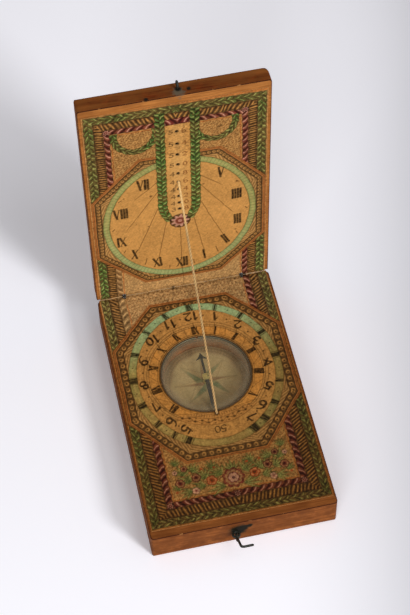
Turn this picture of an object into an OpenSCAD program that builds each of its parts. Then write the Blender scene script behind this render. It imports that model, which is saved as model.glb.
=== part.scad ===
// Pocket diptych sundial: two hinged wooden leaves faced with printed paper, a string gnomon
// stretched between them, a compass let into the base leaf, and a wire hook that shuts the pair.
// Millimetres. Origin at the centre of the base leaf's underside, +Y towards the hinge, +Z up.
// The lid is drawn standing open at a right angle, held by the string.

/* [Leaves] */
// Width of both leaves, along the hinge
leaf_w = 60; // [54:1:75]
// Length of both leaves, from the free end to the hinge
leaf_l = 94; // [88:1:110]
// Thickness of the base leaf's wood
base_t = 11; // [9.5:0.5:15]
// Thickness of the lid leaf's wood
lid_t = 5.6; // [5:0.1:8]
// Thickness of the printed papers and of the compass card
paper_t = 0.2; // [0.1:0.05:0.3]
// Gap between the two printed faces when the leaves are shut
fold_gap = 0.6; // [0.4:0.1:1]

/* [Edges] */
// Radius of the base leaf's four upright corners
base_corner_r = 1.2; // [0.3:0.1:2]
// Radius of the base leaf's bottom edges
base_edge_r = 0.7; // [0.4:0.1:2]
// Radius of the lid's back edge on the right, worn round
lid_right_r = 2.6; // [0.5:0.1:3]
// Radius of the lid's back edge on the left
lid_left_r = 0.8; // [0.5:0.1:3]
// Radius of the lid's back edges at its two ends
lid_end_r = 0.5; // [0.4:0.1:2]
// Radius of the lid's two corners at its free end
lid_corner_r = 0.9; // [0.4:0.1:2]

/* [Papers] */
// Bare wood beside the base leaf's paper, on each side
base_side_margin = 0.7; // [0.3:0.1:3]
// Bare wood in front of the base leaf's paper
base_end_margin = 2.8; // [1:0.1:6]
// Bare wood beside the lid's paper, on each side
lid_side_margin = 1.1; // [0.3:0.1:3]
// Bare wood beyond the lid's paper, at its free end
lid_end_margin = 2.9; // [1:0.1:6]

/* [Compass] */
// Radius of the well that the needle turns in
well_r = 14.4; // [14:0.1:14.8]
// Depth of the well below the wood's top face
well_depth = 5.2; // [4.8:0.1:6]
// Radius of the rebate that holds the glass
rebate_r = 15.3; // [15:0.1:16]
// Thickness of the glass
glass_t = 0.8; // [0.6:0.1:1]
// Thickness of the wire ring sprung in above the glass
ring_wire = 0.6; // [0.4:0.1:0.8]
// Width of the gap between the ring's two ends, at the north point
ring_split = 0.8; // [0.4:0.1:2]
// Thickness of the pivot pin
pivot_w = 0.7; // [0.5:0.1:0.9]
// Depth that the pivot pin is driven into the wood below the card
pivot_depth = 2; // [1:0.5:3]
// Length of the needle's north arm, from the pivot to its point
needle_north = 10; // [8:0.5:12]
// Length of the needle's south arm
needle_south = 13; // [10:0.5:13.5]
// Thickness of the needle's plate
needle_t = 0.25; // [0.2:0.05:0.4]
// Width of the needle's north shaft
needle_w = 0.8; // [0.6:0.1:1.2]
// Width across the barbs of the needle's arrowhead
barb_w = 4; // [3:0.2:5]
// Side of the square brass cap on the needle
cap_side = 2.4; // [2:0.1:3]
// Air between the glass and the needle's cap
cap_air = 0.3; // [0.2:0.05:0.4]

/* [String] */
// Thickness of the string
string_w = 0.8; // [0.5:0.1:0.9]
// Radius of the string's bends at its two ends, to the middle of the string
string_bend = 0.6; // [0.5:0.1:1.2]
// Distance from the lid's printed face to the point where the string's line meets the base's face
foot_to_lid = 53.5; // [48:0.1:55]
// Play between the string and the holes that it passes through, on each side
string_play = 0.1; // [0.05:0.05:0.2]
// Wall of wood between the string's foot hole and the compass rebate
foot_wall = 0.3; // [0.3:0.1:2]
// Radius of the recess under the base leaf for the string's knot
recess_r = 2; // [1.8:0.1:4]
// Depth of that recess
recess_depth = 2.8; // [2.6:0.1:4]
// Latitude of the lowest hole in the lid, in degrees
lat_first = 38; // [34:1:40]
// Step of latitude from hole to hole, in degrees
lat_step = 2; // [1:0.5:2]
// Number of latitude holes
lat_count = 10; // [8:1:10]
// Which hole holds the string, counted from the lowest
lat_used = 5; // [1:1:8]

/* [Hinge eyes] */
// Distance of each pair of linked eyes from the leaf's side
hinge_inset = 9.5; // [5:0.5:14]
// Thickness of the hinge wire
hinge_wire = 0.4; // [0.3:0.05:0.5]
// Radius of a hinge eye, to the middle of its wire
hinge_eye_r = 0.6; // [0.55:0.05:0.8]
// Play between a hinge eye and the notch around it
hinge_play = 0.15; // [0.1:0.05:0.4]
// Thickness of the eye's two legs, twisted together
hinge_leg_w = 0.6; // [0.4:0.1:0.8]
// Length of the legs driven into the wood
hinge_leg = 4; // [3:0.5:4.5]

/* [Hook] */
// Place of the hook's eye across the front face, from the middle
hook_x = -3.2; // [-8:0.1:4]
// Height of the hook's eye above the underside
hook_z = 6.3; // [4:0.1:7]
// Thickness of the wire of the hook and its eye
hook_wire = 0.8; // [0.4:0.1:0.8]
// Radius of the hook's eye and end loop, to the middle of the wire
hook_eye_r = 1; // [0.9:0.05:1.2]
// Length of the hook's tip, from the middle of its shank
hook_tip = 3.9; // [3:0.1:5]
// Radius of the hook's bend, to the middle of the wire
hook_bend_r = 1.1; // [0.6:0.1:1.5]
// Angle of the hook above the horizontal as it stands, in degrees
hook_rest = 40; // [-30:1:90]
// Thickness of the wire of the lid's catch eye
catch_wire = 0.7; // [0.5:0.1:0.8]
// Radius of the catch eye, to the middle of its wire
catch_eye_r = 0.95; // [0.9:0.05:1.2]
// Distance from the lid's end face to the catch eye's centre
catch_proud = 1.9; // [1.8:0.1:2.4]
// Gap beside the hook's tip, which the hook's slack takes up to enter the catch eye
tip_gap = 0.3; // [0.2:0.1:0.8]
// Length of the eyes' shanks driven into the wood
eye_shank = 6; // [4:0.5:8]

/* [Hidden] */
$fn = 64;

// A hair of clearance around driven pins and set-in pieces, and the overshoot of a cut
hair = 0.02;
cut = 1;

// The hinge line, midway between the two printed faces of the shut leaves
hinge_y = leaf_l / 2;
base_top = base_t + paper_t;
axis_z = base_top + fold_gap / 2;
// Faces of the standing lid: printed paper, wood behind it, and the back
lid_face_y = hinge_y + fold_gap / 2;
lid_wood_y = lid_face_y + paper_t;
lid_back_y = lid_wood_y + lid_t;
lid_top_z = axis_z + leaf_l;

// The string's line rises from the foot at the angle of the latitude. It bends into its foot hole
// and its lid hole a hair off each face, so the holes stand where those bends end.
string_r = string_w / 2;
hole_r = string_r + string_play;
foot_y = lid_face_y - foot_to_lid;
function lat_of(n) = lat_first + (n - 1) * lat_step;
function hole_z(n) = let (lat = lat_of(n))
    base_top + string_bend * (1 - cos(lat)) + (foot_to_lid - hair - string_bend * sin(lat)) * tan(lat);
lat_now = lat_of(lat_used);
lid_hole_z = hole_z(lat_used);
foot_hole_y = foot_y + (hair + string_bend * cos(lat_now)) / tan(lat_now)
              - string_bend * (1 - sin(lat_now));
knot_r = 1.25 * string_w;

// Compass: the rebate clears the string's foot hole, and the heights stack down from the wood's face
compass_y = foot_hole_y + hole_r + foot_wall + rebate_r;
glass_r = rebate_r - 0.1;
rebate_depth = glass_t + ring_wire;
glass_z = base_t - rebate_depth;
card_z = base_t - well_depth;
cap_top = glass_z - cap_air;
cap_h = 1.1;
cap_bore_r = 0.55;
cap_neck_r = 0.8;
needle_z = cap_top - 0.6;
pivot_tip_z = cap_top - 0.3;

// Hinge eyes: the base eye stands across the hinge line and the lid eye's near wire runs along it
hinge_x = leaf_w / 2 - hinge_inset;
hinge_ring_out = hinge_eye_r + hinge_wire / 2;
base_notch_r = hinge_ring_out + hinge_play;
lid_notch_r = hinge_eye_r + hinge_ring_out + hinge_play;
notch_w = 2 * (hinge_ring_out + hinge_play);

// Hook: it swings on its eye's outer wire, and reaches the catch eye of the shut lid
hook_r = hook_wire / 2;
hook_eye_y = -hinge_y - hook_eye_r - hook_r - hair;
swing_y = hook_eye_y - hook_eye_r;
catch_y = lid_wood_y + lid_t / 2;
catch_shut_z = axis_z + catch_y - hinge_y;
hook_reach = catch_shut_z - hook_z;
catch_x = hook_x + hook_tip + tip_gap + catch_wire / 2;

// Shared shapes

// Rectangle from [x0, y0] to [x1, y1] with a radius at each corner, in the order
// low left, low right, high right, high left; 0 leaves the corner sharp
module rounded_box(x0, y0, x1, y1, r) {
    corners = [[x0, y0, 1, 1], [x1, y0, -1, 1], [x1, y1, -1, -1], [x0, y1, 1, -1]];
    difference() {
        translate([x0, y0]) square([x1 - x0, y1 - y0]);
        for (i = [0:3])
            if (r[i] > 0)
                translate([corners[i][0], corners[i][1]])
                    scale([corners[i][2], corners[i][3]])
                        difference() {
                            translate([-cut, -cut]) square(r[i] + cut);
                            translate([r[i], r[i]]) circle(r[i]);
                        }
    }
}

// Profile in X and Z, carried along Y from y0 to y1
module along_y(y0, y1) {
    translate([0, y1, 0]) rotate([90, 0, 0]) linear_extrude(y1 - y0) children();
}

// Profile in Y and Z, carried along X from x0 to x1
module along_x(x0, x1) {
    translate([x0, 0, 0]) rotate([90, 0, 90]) linear_extrude(x1 - x0) children();
}

// Round wire ring lying flat, its centre at the origin
module wire_ring(mean_r, wire_r) {
    rotate_extrude() translate([mean_r, 0]) circle(wire_r, $fn = 32);
}

// Cylinder between two points
module rod(from, to, r) {
    d = to - from;
    translate(from)
        rotate([0, acos(d[2] / norm(d)), atan2(d[1], d[0])])
            cylinder(h = norm(d), r = r);
}

// Point of the hinge's cross-section, at a distance and an angle above +Y
function hinge_point(x, dist, angle) =
    [x, hinge_y + dist * cos(angle), axis_z + dist * sin(angle)];

// Notch cut along the hinge line at both pairs of eyes
module hinge_notches(r) {
    for (side = [-1, 1])
        translate([side * hinge_x - notch_w / 2, hinge_y, axis_z])
            rotate([0, 90, 0]) cylinder(h = notch_w, r = r);
}

// Drilled holes for the legs of both hinge eyes
module hinge_leg_holes(dist, angle) {
    for (side = [-1, 1])
        rod(hinge_point(side * hinge_x, 0, angle),
            hinge_point(side * hinge_x, dist + hinge_leg + 0.2, angle), hinge_leg_w / 2 + hair);
}

// Knot at the end of the string: one tight turn around the string and the cut end beside it.
// It stands on the origin and its string comes in from above.
module knot() {
    translate([0, 0, -string_r]) wire_ring(knot_r - string_r, string_r);
    translate([0, 0, -1.7 * string_r]) sphere(1.3 * string_r);
    rod([0, 0, -1.7 * string_r], [1.6 * string_r, 0, -3.2 * string_r], string_r);
}

// Base leaf and what is fixed to it

module base_leaf() {
    color("#9a6438")
        difference() {
            intersection() {
                linear_extrude(base_t)
                    rounded_box(-leaf_w / 2, -leaf_l / 2, leaf_w / 2, leaf_l / 2,
                                [for (i = [0:3]) base_corner_r]);
                along_y(-leaf_l, leaf_l)
                    rounded_box(-leaf_w / 2, 0, leaf_w / 2, base_t, [base_edge_r, base_edge_r, 0, 0]);
                along_x(-leaf_w, leaf_w)
                    rounded_box(-leaf_l / 2, 0, leaf_l / 2, base_t, [base_edge_r, base_edge_r, 0, 0]);
            }
            // Compass well, the rebate for its glass, and the pivot's hole
            translate([0, compass_y, card_z]) cylinder(h = base_t, r = well_r);
            translate([0, compass_y, glass_z]) cylinder(h = base_t, r = rebate_r);
            translate([0, compass_y, card_z - pivot_depth - hair])
                cylinder(h = pivot_depth + cut, r = pivot_w / 2 + hair);
            // String hole and the recess for its knot
            translate([0, foot_hole_y, -cut]) cylinder(h = base_t + 2 * cut, r = hole_r);
            translate([0, foot_hole_y, -cut]) cylinder(h = recess_depth + cut, r = recess_r);
            // Hinge notches and leg holes, and the hole for the hook eye's shank
            hinge_notches(base_notch_r);
            hinge_leg_holes(hinge_eye_r, 225);
            rod([hook_x, -hinge_y - cut, hook_z], [hook_x, -hinge_y + eye_shank + 0.2, hook_z],
                hook_r + hair);
        }
}

module base_paper() {
    color("#be965f")
        difference() {
            translate([0, 0, base_t])
                linear_extrude(paper_t)
                    difference() {
                        translate([-leaf_w / 2 + base_side_margin, -leaf_l / 2 + base_end_margin])
                            square([leaf_w - 2 * base_side_margin, leaf_l - base_end_margin]);
                        translate([0, compass_y]) circle(rebate_r);
                        translate([0, foot_hole_y]) circle(hole_r);
                    }
            hinge_notches(base_notch_r);
        }
}

module compass_card() {
    color("#a58d62")
        translate([0, compass_y, card_z])
            difference() {
                cylinder(h = paper_t, r = well_r - 0.1);
                translate([0, 0, -cut]) cylinder(h = paper_t + 2 * cut, r = pivot_w / 2 + hair);
            }
}

// Brass pin with a small collar on the card and a sharp point for the needle's cap
module compass_pivot() {
    collar_z = card_z + paper_t;
    point_h = 1.2;
    color("#b08a3e")
        translate([0, compass_y, 0]) {
            translate([0, 0, card_z - pivot_depth])
                cylinder(h = pivot_tip_z - point_h - card_z + pivot_depth, r = pivot_w / 2);
            translate([0, 0, collar_z]) cylinder(h = 0.4, r = 1.4 * pivot_w);
            translate([0, 0, pivot_tip_z - point_h])
                cylinder(h = point_h, r1 = pivot_w / 2, r2 = 0.05);
        }
}

// Flat steel needle: a barbed arrowhead to the north and a plain bar to the south
module compass_needle() {
    half = needle_w / 2;
    bar_half = half + 0.25;
    head_back = needle_north - 2.4;
    right_side = [[barb_w * 0.17, needle_north - 1.5], [barb_w / 2, needle_north - 2.9],
                  [half + 0.1, head_back], [half, head_back - 0.5], [half, 0],
                  [bar_half, 0], [bar_half, 0.8 - needle_south]];
    left_side = [for (i = [len(right_side) - 1:-1:0]) [-right_side[i][0], right_side[i][1]]];
    color("#3c4650")
        translate([0, compass_y, needle_z])
            difference() {
                union() {
                    linear_extrude(needle_t)
                        polygon(concat([[0, needle_north]], right_side, [[0, -needle_south]], left_side));
                    cylinder(h = needle_t, r = cap_neck_r + 0.35);
                }
                translate([0, 0, -cut]) cylinder(h = needle_t + 2 * cut, r = cap_neck_r + hair);
            }
}

// Brass cap: a square head over a round neck, bored from below to sit on the pivot's point
module needle_cap() {
    head_z = needle_z + needle_t;
    color("#c2a14a")
        translate([0, compass_y, 0])
            difference() {
                union() {
                    translate([0, 0, cap_top - cap_h]) cylinder(h = cap_h, r = cap_neck_r);
                    translate([0, 0, head_z])
                        linear_extrude(cap_top - head_z)
                            rounded_box(-cap_side / 2, -cap_side / 2, cap_side / 2, cap_side / 2,
                                        [0.4, 0.4, 0.4, 0.4]);
                }
                translate([0, 0, cap_top - cap_h - cut])
                    cylinder(h = cut + 0.35, r = cap_bore_r);
                translate([0, 0, cap_top - cap_h + 0.35 - hair])
                    cylinder(h = cap_h - 0.6 + hair, r1 = cap_bore_r, r2 = 0.08);
            }
}

module compass_glass() {
    color("#c8d2cc", 0.4)
        translate([0, compass_y, glass_z]) cylinder(h = glass_t, r = glass_r);
}

// Split wire ring, sprung against the rebate's wall above the glass
module glass_ring() {
    mean_r = rebate_r - ring_wire / 2 - hair;
    split = 360 * ring_split / (2 * PI * mean_r);
    color("#6e6a52")
        translate([0, compass_y, glass_z + glass_t + ring_wire / 2])
            rotate([0, 0, 90 + split / 2])
                rotate_extrude(angle = 360 - split)
                    translate([mean_r, 0]) circle(ring_wire / 2, $fn = 32);
}

// String inside the base leaf, from its knot in the recess up to the face
module string_foot() {
    color("#cdb28a") {
        translate([0, foot_hole_y, recess_depth]) knot();
        rod([0, foot_hole_y, recess_depth - string_r], [0, foot_hole_y, base_top], string_r);
    }
}

// Point on the string's bend around a centre, where the string climbs at an angle
function on_bend(centre, climb) =
    centre + string_bend * [0, -sin(climb), cos(climb)];

// Piece of the bend between two angles of climb, a touch slimmer than the straight string,
// which it meets inside
module bend(centre, low, high) {
    translate(centre) rotate([90, 0, 90])
        rotate([0, 0, 90 + low])
            rotate_extrude(angle = high - low)
                translate([string_bend, 0]) circle(string_r - hair / 2, $fn = 32);
}

// Free span of the string, the gnomon itself, with its bends into the two leaves
module gnomon_string() {
    foot_centre = [0, foot_hole_y + string_bend, base_top + hair];
    lid_centre = [0, lid_face_y - hair, lid_hole_z - string_bend];
    along = [0, cos(lat_now), sin(lat_now)];
    color("#cdb28a") {
        bend(foot_centre, lat_now, 90);
        rod(on_bend(foot_centre, lat_now) - hair * along, on_bend(lid_centre, lat_now) + hair * along,
            string_r);
        bend(lid_centre, 0, lat_now);
    }
}

// Eye on the front face, lying level, with its shank in the wood
module hook_eye() {
    color("#4a4438") {
        translate([hook_x, hook_eye_y, hook_z]) wire_ring(hook_eye_r, hook_r);
        rod([hook_x, hook_eye_y + hook_eye_r, hook_z], [hook_x, -hinge_y + eye_shank, hook_z],
            hook_r);
    }
}

// Hook drawn in its own frame: loop around the swing axis, shank outwards along -Y, tip along +X
module hook_wire_form() {
    straight = hook_reach - hook_bend_r;
    rotate([0, 90, 0]) wire_ring(hook_eye_r, hook_r);
    rod([0, -hook_eye_r, 0], [0, -straight, 0], hook_r);
    translate([hook_bend_r, -straight, 0])
        rotate([0, 0, 180])
            rotate_extrude(angle = 90) translate([hook_bend_r, 0]) circle(hook_r, $fn = 32);
    rod([hook_bend_r, -hook_reach, 0], [hook_tip - hook_r, -hook_reach, 0], hook_r);
    translate([hook_tip - hook_r, -hook_reach, 0]) sphere(hook_r);
}

module hook() {
    color("#4a4438")
        translate([hook_x, swing_y, hook_z]) rotate([-hook_rest, 0, 0]) hook_wire_form();
}

// Base half of a hinge: an eye standing across the hinge line, its legs driven down and forward
module hinge_eye_base(side) {
    x = side * hinge_x;
    color("#3f3a30") {
        translate([x, hinge_y, axis_z]) rotate([0, 90, 0]) wire_ring(hinge_eye_r, hinge_wire / 2);
        rod(hinge_point(x, hinge_eye_r, 225), hinge_point(x, hinge_eye_r + hinge_leg, 225),
            hinge_leg_w / 2);
    }
}

// Lid half: an eye linked through the base's, its near wire on the hinge line
module hinge_eye_lid(side) {
    x = side * hinge_x;
    far = 2 * hinge_eye_r;
    color("#3f3a30") {
        translate(hinge_point(x, hinge_eye_r, 45))
            rotate([45, 0, 0]) wire_ring(hinge_eye_r, hinge_wire / 2);
        rod(hinge_point(x, far, 45), hinge_point(x, far + hinge_leg, 45), hinge_leg_w / 2);
    }
}

// Lid leaf and what is fixed to it

module lid_leaf() {
    half = leaf_w / 2;
    color("#b8763a")
        difference() {
            intersection() {
                translate([0, 0, axis_z])
                    linear_extrude(leaf_l)
                        rounded_box(-half, lid_wood_y, half, lid_back_y,
                                    [0, 0, lid_right_r, lid_left_r]);
                along_y(0, leaf_l)
                    rounded_box(-half, axis_z, half, lid_top_z, [0, 0, lid_corner_r, lid_corner_r]);
                along_x(-leaf_w, leaf_w)
                    rounded_box(lid_wood_y, axis_z, lid_back_y, lid_top_z,
                                [0, lid_end_r, lid_end_r, 0]);
            }
            for (n = [1:lat_count]) latitude_hole(n);
            hinge_notches(lid_notch_r);
            hinge_leg_holes(2 * hinge_eye_r, 45);
            rod([catch_x, catch_y, lid_top_z - eye_shank - 0.2], [catch_x, catch_y, lid_top_z + cut],
                catch_wire / 2 + hair);
        }
}

// Hole number n through the lid: its height is the foot's distance times the tangent of its latitude
module latitude_hole(n) {
    rod([0, lid_face_y - cut, hole_z(n)], [0, lid_back_y + cut, hole_z(n)], hole_r);
}

module lid_paper() {
    half = leaf_w / 2 - lid_side_margin;
    color("#c79a5c")
        difference() {
            translate([-half, lid_face_y, axis_z])
                cube([2 * half, paper_t, leaf_l - lid_end_margin]);
            for (n = [1:lat_count]) latitude_hole(n);
            hinge_notches(lid_notch_r);
        }
}

// String inside the lid, from its face to the knot behind
module string_knot() {
    color("#cdb28a") {
        translate([0, lid_back_y, lid_hole_z]) rotate([90, 0, 0]) knot();
        rod([0, lid_face_y, lid_hole_z], [0, lid_back_y + string_r, lid_hole_z], string_r);
    }
}

// Eye on the lid's free end that takes the hook's tip
module catch_eye() {
    ring_z = lid_top_z + catch_proud;
    color("#4a4438") {
        translate([catch_x, catch_y, ring_z]) rotate([0, 90, 0]) wire_ring(catch_eye_r, catch_wire / 2);
        rod([catch_x, catch_y, lid_top_z - eye_shank], [catch_x, catch_y, ring_z - catch_eye_r],
            catch_wire / 2);
    }
}

base_leaf();
base_paper();
compass_card();
compass_pivot();
compass_needle();
needle_cap();
compass_glass();
glass_ring();
string_foot();
gnomon_string();
string_knot();
hook_eye();
hook();
hinge_eye_base(-1);  // hinge_eye_base_left
hinge_eye_base(1);  // hinge_eye_base_right
lid_leaf();
lid_paper();
catch_eye();
hinge_eye_lid(-1);  // hinge_eye_lid_left
hinge_eye_lid(1);  // hinge_eye_lid_right
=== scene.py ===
"""Pocket diptych sundial: two pearwood leaves faced with hand-coloured engraved papers, a string gnomon
stretched between them, a compass under dusty glass, and small wire hinges, hook and eyes.

Lengths in the settings are metres. The prints are worked out in millimetres on each leaf's face:
u runs across the leaf from its middle, and v along it, from the base's front edge or up from the fold.
"""

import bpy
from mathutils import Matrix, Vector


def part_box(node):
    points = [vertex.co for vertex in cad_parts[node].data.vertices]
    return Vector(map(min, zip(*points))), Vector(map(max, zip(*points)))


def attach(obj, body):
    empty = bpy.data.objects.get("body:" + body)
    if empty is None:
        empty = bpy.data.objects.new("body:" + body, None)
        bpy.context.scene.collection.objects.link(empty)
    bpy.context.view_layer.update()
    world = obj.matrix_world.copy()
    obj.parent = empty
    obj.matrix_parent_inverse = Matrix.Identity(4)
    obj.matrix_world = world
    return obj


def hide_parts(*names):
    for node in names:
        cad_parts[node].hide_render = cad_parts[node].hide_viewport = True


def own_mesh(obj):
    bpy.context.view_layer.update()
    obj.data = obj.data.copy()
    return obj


bl_info = {
    "name": "Diptych Sundial",
    "version": (1, 0, 0),
    "blender": (4, 5, 0),
    "location": "3D View > Sidebar > Sundial",
    "description": "Woods, coloured prints, compass, string, wires and stage of a pocket diptych sundial",
    "category": "Object",
}

import bpy
import numpy as np
from mathutils import Vector

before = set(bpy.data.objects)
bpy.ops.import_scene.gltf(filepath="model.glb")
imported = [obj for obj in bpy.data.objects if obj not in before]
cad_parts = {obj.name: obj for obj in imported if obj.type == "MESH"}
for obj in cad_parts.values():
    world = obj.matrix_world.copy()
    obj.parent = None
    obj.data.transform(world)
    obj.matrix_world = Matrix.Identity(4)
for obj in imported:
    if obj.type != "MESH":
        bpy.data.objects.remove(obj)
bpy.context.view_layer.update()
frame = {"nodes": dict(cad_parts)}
MM = 0.001


def corners(node):
    """Lowest and highest corner of a packed node, in millimetres."""
    low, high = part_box(node)
    return np.array(low) / MM, np.array(high) / MM


def middle_of(node):
    """Middle of a packed node, in millimetres."""
    return sum(corners(node)) / 2


def linear(code):
    """Linear RGB of an sRGB hex colour."""
    s = np.array([int(code[i:i + 2], 16) for i in (1, 3, 5)]) / 255.0
    return np.where(s <= 0.04045, s / 12.92, ((s + 0.055) / 1.055) ** 2.4)


# Places on the packed model, in millimetres

BASE_LOW, BASE_HIGH = corners("base_paper")
LID_LOW, LID_HIGH = corners("lid_paper")
FRONT = corners("base_leaf")[0][1]
FOLD = corners("lid_leaf")[0][2]
COMPASS = middle_of("compass_glass")
STRING_FOOT = middle_of("string_foot")
STRING_HOLE = middle_of("string_knot")
EYE_LOW, EYE_HIGH = corners("hinge_eye_base_right")
HINGE_X = middle_of("hinge_eye_base_right")[0]

# The prints' lift over their papers, their reach past the fold, and how far the card's print stays inside it
PRINT_LIFT = 0.02
FRINGE = 0.26
CARD_MARGIN = 0.05

# Radii of the holes in the prints, and the play round the hinge notches
HOLE_R = 0.5
PIN_HOLE_R = 0.42
REBATE_R = 15.3
NOTCH_PLAY = 0.04

# Rounding of the glass's rim, the floor's half-width and height, and the way in which its painted shade grows
# darker
GLASS_BEVEL = 0.15
FLOOR_HALF, FLOOR_Z = 3000.0, -0.05
FLOOR_RIGHT = (1.0, -0.293, 0.0)

# The string: its radius, that of its bends, its slope, the way from foot to lid and the bends' lift off the
# faces
STRING_R = 0.4
STRING_BEND = 0.6
STRING_LATITUDE = 46.0
FOOT_TO_LID = 53.5
HAIR = 0.02

# The knots: scale of their loops, how deep they are, how high the foot's top lies over its lowest point, and
# how far the stem reaches into them
KNOT_SCALE = 0.62 / 3
KNOT_DROP = 1.4
KNOT_HEIGHT = 1.68
KNOT_BITE = 0.3

# Colours of dirt, the darkest also used as painted shade inside the latitude holes, and names of the colour
# and of the depth kept at the points of prints and string
SOOT_AND_SHADE = (0.012, 0.01, 0.006, 1)
POWDER = (0.145, 0.108, 0.068, 1)
BROWN_SKIN = (0.09, 0.06, 0.03, 1)
PRINT_LAYER, GROOVE_LAYER = "print", "groove"

# Stains beside the hook's eye and the catch eye: millimetres along and up or back from the eye, reach and
# raggedness in metres, and tint
HOOK_STAINS = [
    (1.0, 0.2, 0.0038, 0.0024, "bloom"), (2.7, 1.0, 0.0021, 0.0018, "bloom"),
    (4.8, 1.8, 0.0011, 0.0014, "bloom"), (1.2, 0.3, 0.0029, 0.0014, "soot"),
    (2.8, 0.8, 0.0017, 0.0014, "soot"), (4.1, 1.4, 0.0012, 0.0012, "soot"),
]
CATCH_STAINS = [
    (0.1, -1.2, 0.0022, 0.0034, "powder"), (3.4, -0.6, 0.0009, 0.0010, "soot"),
    (0.2, -0.1, 0.0013, 0.0006, "soot"),
]


def hole_height(degrees):
    """Height of a latitude's hole above the base's face: the string's line climbs by the tangent of the
    latitude over the distance from foot to lid, less what its two bends take up."""
    lat = np.radians(degrees)
    run = FOOT_TO_LID - HAIR - STRING_BEND * np.sin(lat)
    return STRING_BEND * (1 - np.cos(lat)) + run * np.tan(lat)


# Latitudes of the lid's holes, in degrees, and how far up the lid they stand
LATITUDES = range(38, 57, 2)
HOLES_V = [BASE_HIGH[2] + hole_height(degrees) - FOLD for degrees in LATITUDES]


# Settings

def colour(name, description, code):
    """A colour setting that starts from a hex value."""
    return bpy.props.FloatVectorProperty(
        name=name, description=description, subtype="COLOR", size=3, min=0, max=1,
        default=tuple(linear(code)))


def length(name, description, default, low=0.0, high=10.0):
    """A length setting in metres."""
    return bpy.props.FloatProperty(
        name=name, description=description, unit="LENGTH", precision=5, min=low, max=high, default=default)


def share(name, description, default):
    """A setting from 0 to 1."""
    return bpy.props.FloatProperty(
        name=name, description=description, subtype="FACTOR", min=0, max=1, default=default)


def amount(name, description, default, low=0.0, high=1000.0):
    """A setting that is a plain number."""
    return bpy.props.FloatProperty(name=name, description=description, min=low, max=high, default=default)


def vector(name, description, default, subtype="TRANSLATION"):
    """A place in metres, or a turn."""
    return bpy.props.FloatVectorProperty(
        name=name, description=description, subtype=subtype, size=3, default=tuple(default))


class SUNDIAL_PG_print(bpy.types.PropertyGroup):
    """The two printed faces."""

    step: length("Print detail", "Spacing of the printed faces' coloured points", 0.000163, 0.0001, 0.001)
    latitude: bpy.props.FloatProperty(
        name="Latitude", description="Latitude that the hour lines are drawn for", subtype="ANGLE",
        min=0.7, max=1.0, default=np.radians(50))
    paper: colour("Paper", "Laid paper, browned by age and varnish", "#bd8d50")
    pale: colour("Bare paper", "Paper left bare of colour between the lines", "#dcb373")
    amber: colour("Amber", "Yellow wash on both dials, turned amber", "#c48c49")
    orange: colour("Orange", "Red lead lines round the frames", "#ad551c")
    fibre: colour("Bare fibre", "Worn paper along the fold", "#bf9a66")
    gold: colour("Gold", "Brighter yellow round the compass", "#d9903e")
    rust: colour("Rust brown", "Stipple and shading of the grounds", "#703a14")
    line: colour("Ink", "Black of the copper plate", "#1a1006")
    brown: colour("Brown", "Thin ink and shading", "#4f2f12")
    leaf: colour("Green", "Verdigris wash on plaits and leaves", "#4f7030")
    leaf_dark: colour("Dark green", "Green over dense engraving", "#1a2009")
    leaf_pale: colour("Pale green", "Green over bare paper", "#b0ae62")
    ring_green: colour("Ring green", "Pale green wash of the oval rings", "#8a9152")
    ring_fresh: colour("Fresh green", "The same wash where light and hands spared it", "#9cb580")
    crimson: colour("Crimson", "Lake wash on the ribbons and blossoms", "#7d3028")
    crimson_dark: colour("Dark crimson", "Lake over dense engraving", "#2a0d0a")
    pink: colour("Pink", "Thin lake over bare paper", "#d0957a")
    red: colour("Red", "Vermilion touches on the small blossoms", "#b34a22")
    card_brown: colour("Card brown", "Rim of the compass card", "#ab8c62")
    card_yellow: colour("Card yellow", "Lobes between the star's rays", "#cbb07c")
    card_red: colour("Card red", "Shaded halves of the star's main rays", "#86583c")
    card_green: colour("Card green", "Shaded halves of the star's rays", "#47704a")


class SUNDIAL_PG_wood(bpy.types.PropertyGroup):
    """The two pearwood leaves."""

    base: colour("Base wood", "Pearwood of the base, handled and darkened", "#8e5428")
    lid: colour("Lid wood", "Pearwood of the lid", "#b3743a")
    base_side: colour("Base's narrow faces", "Ends and sides of the base, darker from handling", "#7f4820")
    lid_side: colour("Lid's narrow faces", "Ends and sides of the lid, red-brown under varnish", "#5a1e04")
    edge: colour("Dark edge", "Dirt and old varnish along the edges", "#35130a")
    chip: colour("Chips", "Fresh wood where an edge is knocked", "#b07c48")
    grain: length("Grain width", "Width of the wood's fine streaks", 0.0006, 0.0002, 0.003)


class SUNDIAL_PG_fittings(bpy.types.PropertyGroup):
    """Compass, string and wires."""

    brass: colour("Brass", "Cap and pivot of the needle", "#cfc482")
    steel: colour("Needle", "Blued steel of the needle", "#343c42")
    ring: colour("Glass ring", "Tarnished wire that holds the glass", "#5f5a48")
    wire: colour("Dark wire", "Brass wire of hook, eyes and hinges under a dark skin", "#241f18")
    verdigris: colour("Verdigris", "Green bloom on the wires and in the wood round them", "#202014")
    dust: colour("Dust", "Haze on both faces of the compass glass", "#a89878")
    haze: share("Haze", "How much the dusty glass hides", 0.09)
    thread: colour("String", "Linen thread of the gnomon", "#cea668")
    # Painted shade in the string's grooves
    thread_shade: colour("String shade", "Thread in the grooves between its two strands", "#6d4820")
    lay: length("String lay", "Length of one turn of the string's two strands", 0.0022, 0.0005, 0.01)


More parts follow.
